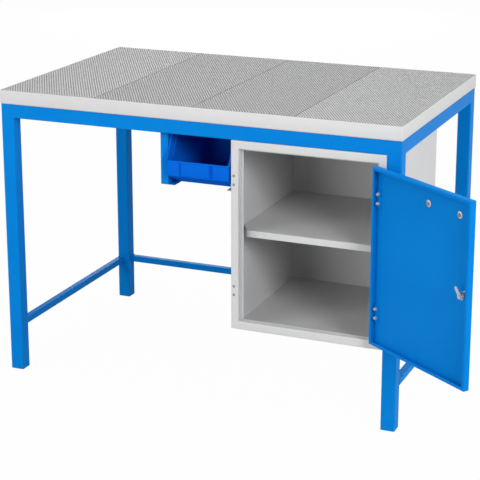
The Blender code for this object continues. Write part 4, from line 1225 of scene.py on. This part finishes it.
# %% [markdown]
# ## Welds
# The frame is welded. A fillet bead lies in the corner of two tubes, its back to the corner, and
# ripples as the welder moves. The welds on the outer faces are ground flush, so there the strip is
# broad and nearly flat and only hides the joint between tube and leg. The frame is the same at all
# four legs, so each line is written once and mirrored by signs.

# %% Welds of the frame
LEG = 40.0 * MM
GROUND = (9.0 * MM, 0.14 * MM, 2.0 * MM)     # breadth, height, depth in the tube
BEAD = (6.0 * MM, 2.2 * MM, 1.2 * MM)
RIPPLE = 0.25             # share of the bead's height
RIPPLE_STEPS = 4
CORNER_CLEAR = 3.0 * MM   # beads stop short of the tubes' rounded edges
RAIL_CLEAR = 2.0 * MM     # which are smaller on the low rails
GROUND_LOW = 0.4 * MM     # ground welds start this far over the rail's lower edge
GROUND_TOP = 0.5 * MM     # and end this far below the leg's top


def bead_strip(start, end, out):
    """A rippled strip with enough rows for its ripples."""
    steps = int(np.linalg.norm(np.subtract(end, start)) / WELD_PITCH * RIPPLE_STEPS) + 2
    return strip(start, end, out, *BEAD, RIPPLE, steps)


print("rows of a 36 mm bead:", len(bead_strip((0, 0, 0), (36 * MM, 0, 0), (0, 0, 1))))

# %% Lines of the welds
leg_low, leg_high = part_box("leg_front_right")
rail_low, rail_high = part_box("low_rail_left")
OUTER_X, OUTER_Y = leg_high.x, -leg_low.y        # outer faces of a leg
INNER_X, INNER_Y = OUTER_X - LEG, OUTER_Y - LEG  # and its inner faces
THIN = rail_high.x - rail_low.x                  # breadth of a low rail
FOOT, HEAD = rail_low.z + RAIL_CLEAR, rail_high.z - RAIL_CLEAR
SKINS = ((rail_low.z, -1), (rail_high.z, 1))     # its lower and upper face, and where they look
NEAR, FAR = RAIL_CLEAR, THIN - RAIL_CLEAR
WELD_TOP, WELD_LOW = leg_high.z - GROUND_TOP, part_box("front_rail")[0].z


def ground_lines(sx, sy):
    """The two flush joints on a leg's outer faces."""
    low = WELD_LOW + GROUND_LOW
    return [((sx * x, sy * y, low), (sx * x, sy * y, WELD_TOP), out)
            for x, y, out in ((INNER_X, OUTER_Y, (0, sy, 0)), (OUTER_X, INNER_Y, (sx, 0, 0)))]


def leg_lines(sx, sy):
    """Beads of one leg: below both upper rails, between them, and round the side's low rail."""
    below = [((sx * INNER_X, sy * (OUTER_Y - CORNER_CLEAR), WELD_LOW),
              (sx * INNER_X, sy * (INNER_Y + CORNER_CLEAR), WELD_LOW), (-sx, 0, -1)),
             ((sx * (OUTER_X - CORNER_CLEAR), sy * INNER_Y, WELD_LOW),
              (sx * (INNER_X + CORNER_CLEAR), sy * INNER_Y, WELD_LOW), (0, -sy, -1)),
             ((sx * INNER_X, sy * INNER_Y, WELD_LOW + RAIL_CLEAR),
              (sx * INNER_X, sy * INNER_Y, WELD_TOP - RAIL_CLEAR), (-sx, -sy, 0))]
    rail = [((sx * (OUTER_X - NEAR), sy * INNER_Y, z), (sx * (OUTER_X - FAR), sy * INNER_Y, z),
             (0, -sy, up)) for z, up in SKINS]
    upright = ((sx * (OUTER_X - THIN), sy * INNER_Y, FOOT),
               (sx * (OUTER_X - THIN), sy * INNER_Y, HEAD), (-sx, -sy, 0))
    return below + rail + [upright]


def rear_lines(sx):
    """Beads round one end of the rear low rail."""
    rail = [((sx * INNER_X, OUTER_Y - NEAR, z), (sx * INNER_X, OUTER_Y - FAR, z), (-sx, 0, up))
            for z, up in SKINS]
    upright = ((sx * INNER_X, OUTER_Y - THIN, FOOT), (sx * INNER_X, OUTER_Y - THIN, HEAD),
               (-sx, -1, 0))
    return rail + [upright]


ground, beads = [], []
for sx in (-1, 1):
    for sy in (-1, 1):
        ground += ground_lines(sx, sy)
        beads += leg_lines(sx, sy)
    beads += rear_lines(sx)
strips_piece("ground_welds", [strip(*line, *GROUND) for line in ground], "table",
             "blue_powder_coat")
strips_piece("weld_beads", [bead_strip(*line) for line in beads], "table", "blue_powder_coat")

# %% [markdown]
# ## Nuts, washers and screw heads
# Small turned parts: a profile of radii and heights goes round an axis. Where a row is marked as
# six-sided, the radius grows towards the corners as that of a hexagon does, and a chamfer comes by
# itself where the smaller of hexagon and circle is taken. Dome nuts cover the hinge screws inside
# the door, broad washers spread the pull of the handle's screws, and screw heads get a drive.

# %% Turned parts
ROUND, HEX, CHAMFER = 0, 1, 2
CHAMFER_REACH = 1.07      # of the hexagon's half width


def turned_grid(rows, base, out, sides=36):
    """Rows are (radius, height, kind), in mm. The radius of a hexagon at an angle is its half
    width over the cosine of the angle from the nearest flat's middle."""
    base, out = np.array(base, dtype=float), np.array(out, dtype=float)
    out /= np.linalg.norm(out)
    side = np.cross(out, (0, 0, 1.0))
    side /= np.linalg.norm(side)
    up = np.cross(side, out)
    angle = 2 * math.pi * np.arange(sides) / sides
    from_flat = (angle + math.pi / 6) % (math.pi / 3) - math.pi / 6
    radius, height, kind = (np.array(column, dtype=float)[:, None] for column in zip(*rows))
    hexagon = radius / np.cos(from_flat)
    cut = np.minimum(hexagon, radius * CHAMFER_REACH)
    reach = MM * np.where(kind == HEX, hexagon, np.where(kind == CHAMFER, cut, radius))
    across = np.cos(angle)[None, :, None] * side + np.sin(angle)[None, :, None] * up
    return base + reach[..., None] * across + MM * height[..., None] * out


def turned_piece(name, rows, places, body, finish=None, nodes=()):
    """The same turned part at several places, each a base point and an outward direction."""
    grids = [turned_grid(rows, base, out) for base, out in places]
    return strips_piece(name, grids, body, "bright_zinc", nodes, finish)


DOME_NUT = [(0.4, -0.3, ROUND), (4.4, -0.3, HEX), (4.4, 3.2, HEX), (4.4, 3.7, CHAMFER),
            (3.9, 4.1, ROUND), (3.8, 5.0, ROUND), (3.4, 6.1, ROUND), (2.6, 7.0, ROUND),
            (1.5, 7.6, ROUND), (0.4, 7.75, ROUND)]
WASHER = [(3.0, 0.0, ROUND), (9.2, 0.0, ROUND), (9.5, 0.3, ROUND), (9.5, 0.9, ROUND),
          (9.2, 1.2, ROUND), (3.0, 1.2, ROUND)]
PAN_HEAD = [(2.9, 0.9, ROUND), (4.8, 0.9, ROUND), (5.0, 1.3, ROUND), (4.8, 2.1, ROUND),
            (4.1, 2.7, ROUND), (3.2, 3.0, ROUND), (2.3, 3.0, HEX), (2.2, 1.5, HEX),
            (0.3, 1.3, ROUND)]
# painted shade: a grey plug whose colour stands in for the shade of a spare hole
HOLE_SHADE_PLUG = [(0.3, -3.0, ROUND), (2.7, -3.0, ROUND), (2.7, -0.2, ROUND), (4.0, -0.2, ROUND),
        (4.1, 0.2, ROUND), (3.7, 0.7, ROUND), (2.4, 1.0, ROUND), (0.3, 1.1, ROUND)]
HINGE_HEAD = [(0.3, 0.0, ROUND), (3.9, 0.0, ROUND), (4.0, 0.4, ROUND), (3.8, 1.2, ROUND),
              (3.2, 2.0, ROUND), (2.4, 2.4, ROUND), (1.3, 2.5, HEX), (1.25, 1.3, HEX),
              (0.25, 1.1, ROUND)]
print("a dome nut is", DOME_NUT[-1][1], "mm high")

# %% [markdown]
# ## Screws, nuts and plugs in their places
# The solids give the ends of every screw, so heads and nuts are placed by them and not by eye. The
# plating of small parts has dulled: nuts keep some shine, heads have gone grey. The plugs in the
# spare holes are painted shade: their dull grey stands in for the shade in the holes.

# %% Ends of a screw
def ends_of(node, from_table=False):
    """Both ends of a screw's middle line: the one in front of its sheet, and the one behind."""
    low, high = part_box(node)
    middle = (low + high) / 2
    out = Vector((0, -1, 0))
    if not from_table:
        out.rotate(Matrix.Rotation(DOOR_OPEN, 3, "Z"))
    verts = np.array([vertex.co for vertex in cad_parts[node].data.vertices])
    along = (verts - np.array(middle)) @ np.array(out)
    return middle + out * along.max(), middle + out * along.min(), out


screw_out = ends_of("hinge_screw_door_upper_1")[2]
print("the door's screws point to", [round(value, 2) for value in screw_out])

# %% Small parts of the hinges
NUT_SEAT = 2.0 * MM       # a nut's seat lies this far from the screw's tip
HEAD_SEAT = 2.3 * MM      # and a head's seat this far from its front
dome_places, head_places, stile_places = [], [], []
for level in ("upper", "lower"):
    for number in (1, 2):
        front, back, out = ends_of(f"hinge_screw_door_{level}_{number}")
        dome_places.append((back + out * NUT_SEAT, -out))
        head_places.append((front - out * HEAD_SEAT, out))
        front, back, out = ends_of(f"hinge_screw_stile_{level}_{number}", True)
        stile_places.append((front - out * HEAD_SEAT, out))
# painted shade: grey plugs in the spare holes stand in for the holes' shade
hole_shade_places = [(place, (0, -1, 0)) for place in SPARE_HOLES]
turned_piece("hinge_dome_nuts", DOME_NUT, dome_places, "door", WORN_ZINC)
turned_piece("hinge_screw_heads_door", HINGE_HEAD, head_places, "door", DULL_ZINC)
turned_piece("hinge_screw_heads_stile", HINGE_HEAD, stile_places, "table", DULL_ZINC)
turned_piece("spare_hole_shade_plugs", HOLE_SHADE_PLUG, hole_shade_places, "table", DULL_ZINC)

# %% Screws of the handle
HEAD_HEIGHT = 2.2 * MM    # of the handle screws' heads over the door's sheet
seat_places, screw_length = [], 0.0
for number in (1, 2):
    front, back, out = ends_of(f"handle_screw_{number}")
    seat_places.append((back + out * HEAD_HEIGHT, -out))
    screw_length = ((front - back).length - HEAD_HEIGHT) / MM
turned_piece("handle_washers", WASHER, seat_places, "door")
shank = [(0.3, -screw_length, ROUND), (2.9, -screw_length, ROUND)]
turned_piece("handle_screw_heads", shank + PAN_HEAD, seat_places, "door", DULL_ZINC,
             ("handle_screw_1", "handle_screw_2"))

# %% [markdown]
# ## Stage
# The table stood in a white studio with soft light from above and the front. A large pale floor
# takes a faint shadow. More light would whiten the background but burn out the table, so lamps and
# world stay at a plain level, and what the camera sees as white behind the table is the floor's and
# the world's own colour for camera rays.

# %% White floor
FLOOR_SIZE = 60.0
FLOOR_GREY = (0.50, 0.50, 0.50, 1.0)
FLOOR_GLOW = 0.98         # share of white that the camera sees
WHITE = (1.0, 1.0, 1.0, 1.0)


def ray_flags(tree, *kinds):
    """A value that is 1 for rays of these kinds and 0 for all others: the sum of their flags."""
    return sum(tree.node("ShaderNodeLightPath", output=f"Is {kind} Ray") for kind in kinds)


floor_mesh = bpy.data.meshes.new("floor")
side = FLOOR_SIZE / 2
floor_corners = [(x, y, 0.0) for x, y in rectangle((-side, -side), (side, side))]
floor_mesh.from_pydata(floor_corners, [], [(0, 1, 2, 3)])
floor = bpy.data.objects.new("floor", floor_mesh)
bpy.context.scene.collection.objects.link(floor)

studio = Finish("studio_floor", Roughness=1.0, Base_Color=FLOOR_GREY)
seen = ray_flags(studio, "Camera", "Glossy", "Transmission") * FLOOR_GLOW
glow = studio.node("ShaderNodeEmission", None, {"Color": WHITE, "Strength": 1.0})
plain = Value(studio, studio.shader.outputs[0])
blend = studio.node("ShaderNodeMixShader", None, [seen, plain, glow])
studio.connect(studio.nodes["Material Output"].inputs["Surface"], blend)
floor_mesh.materials.append(studio.material)
print("floor:", FLOOR_SIZE, "m broad")

# %% White world
WORLD_LIGHT = 0.12
world = bpy.data.worlds.new("studio")
bpy.context.scene.world = world
sky = Tree(world)
sky_light = sky.nodes["Background"]
sky_light.inputs["Color"].default_value = WHITE
sky_light.inputs["Strength"].default_value = WORLD_LIGHT
sky_glow = sky.node("ShaderNodeBackground", None, {"Color": WHITE, "Strength": 1.0})
sky_seen = ray_flags(sky, "Camera", "Glossy")
sky_plain = Value(sky, sky_light.outputs[0])
sky_blend = sky.node("ShaderNodeMixShader", None, [sky_seen, sky_plain, sky_glow])
sky.connect(sky.nodes["World Output"].inputs["Surface"], sky_blend)
print("world lights with strength", WORLD_LIGHT)

# %% [markdown]
# ## Lamps
# Studio light is soft, so each lamp is a broad square. Lamps stand before the table and at its
# sides, one hangs above, and one stands behind so that the back isn't black. Places and powers were
# found by comparing the brightness of each face with the picture.

# %% Lamps
# name: place, aim, breadth in metres, power in watts
LAMPS = {
    "lamp_front": ((-0.862, -4.058, 1.157), (0.0, 0.0, 0.5), 1.6, 41.0),
    "lamp_left_high": ((-3.289, -4.697, 4.515), (0.0, 0.0, 0.5), 2.5, 112.0),
    "lamp_right_high": ((4.60, -4.30, 3.30), (0.0, 0.0, 0.5), 2.2, 222.0),
    "lamp_right": ((6.780, -0.953, 1.955), (0.0, 0.0, 0.5), 2.5, 160.0),
    "lamp_left": ((-6.2, -2.2, 1.4), (0.0, 0.0, 0.5), 2.5, 45.0),
    "lamp_back": ((-2.6, 6.2, 1.3), (0.0, 0.0, 0.5), 2.5, 125.0),
    "lamp_above": ((0.2, 0.2, 5.5), (0.0, 0.0, 0.6), 3.0, 128.0),
}
for name, (place, aim, size, power) in LAMPS.items():
    light = bpy.data.lights.new(name, "AREA")
    light.shape = "SQUARE"
    light.size = size
    light.energy = power
    lamp = bpy.data.objects.new(name, light)
    lamp.location = place
    lamp.rotation_euler = (Vector(aim) - Vector(place)).to_track_quat("-Z", "Y").to_euler()
    bpy.context.scene.collection.objects.link(lamp)
print("lamps:", ", ".join(LAMPS))

# %% [markdown] ## End

# %% End
bpy.context.view_layer.update()
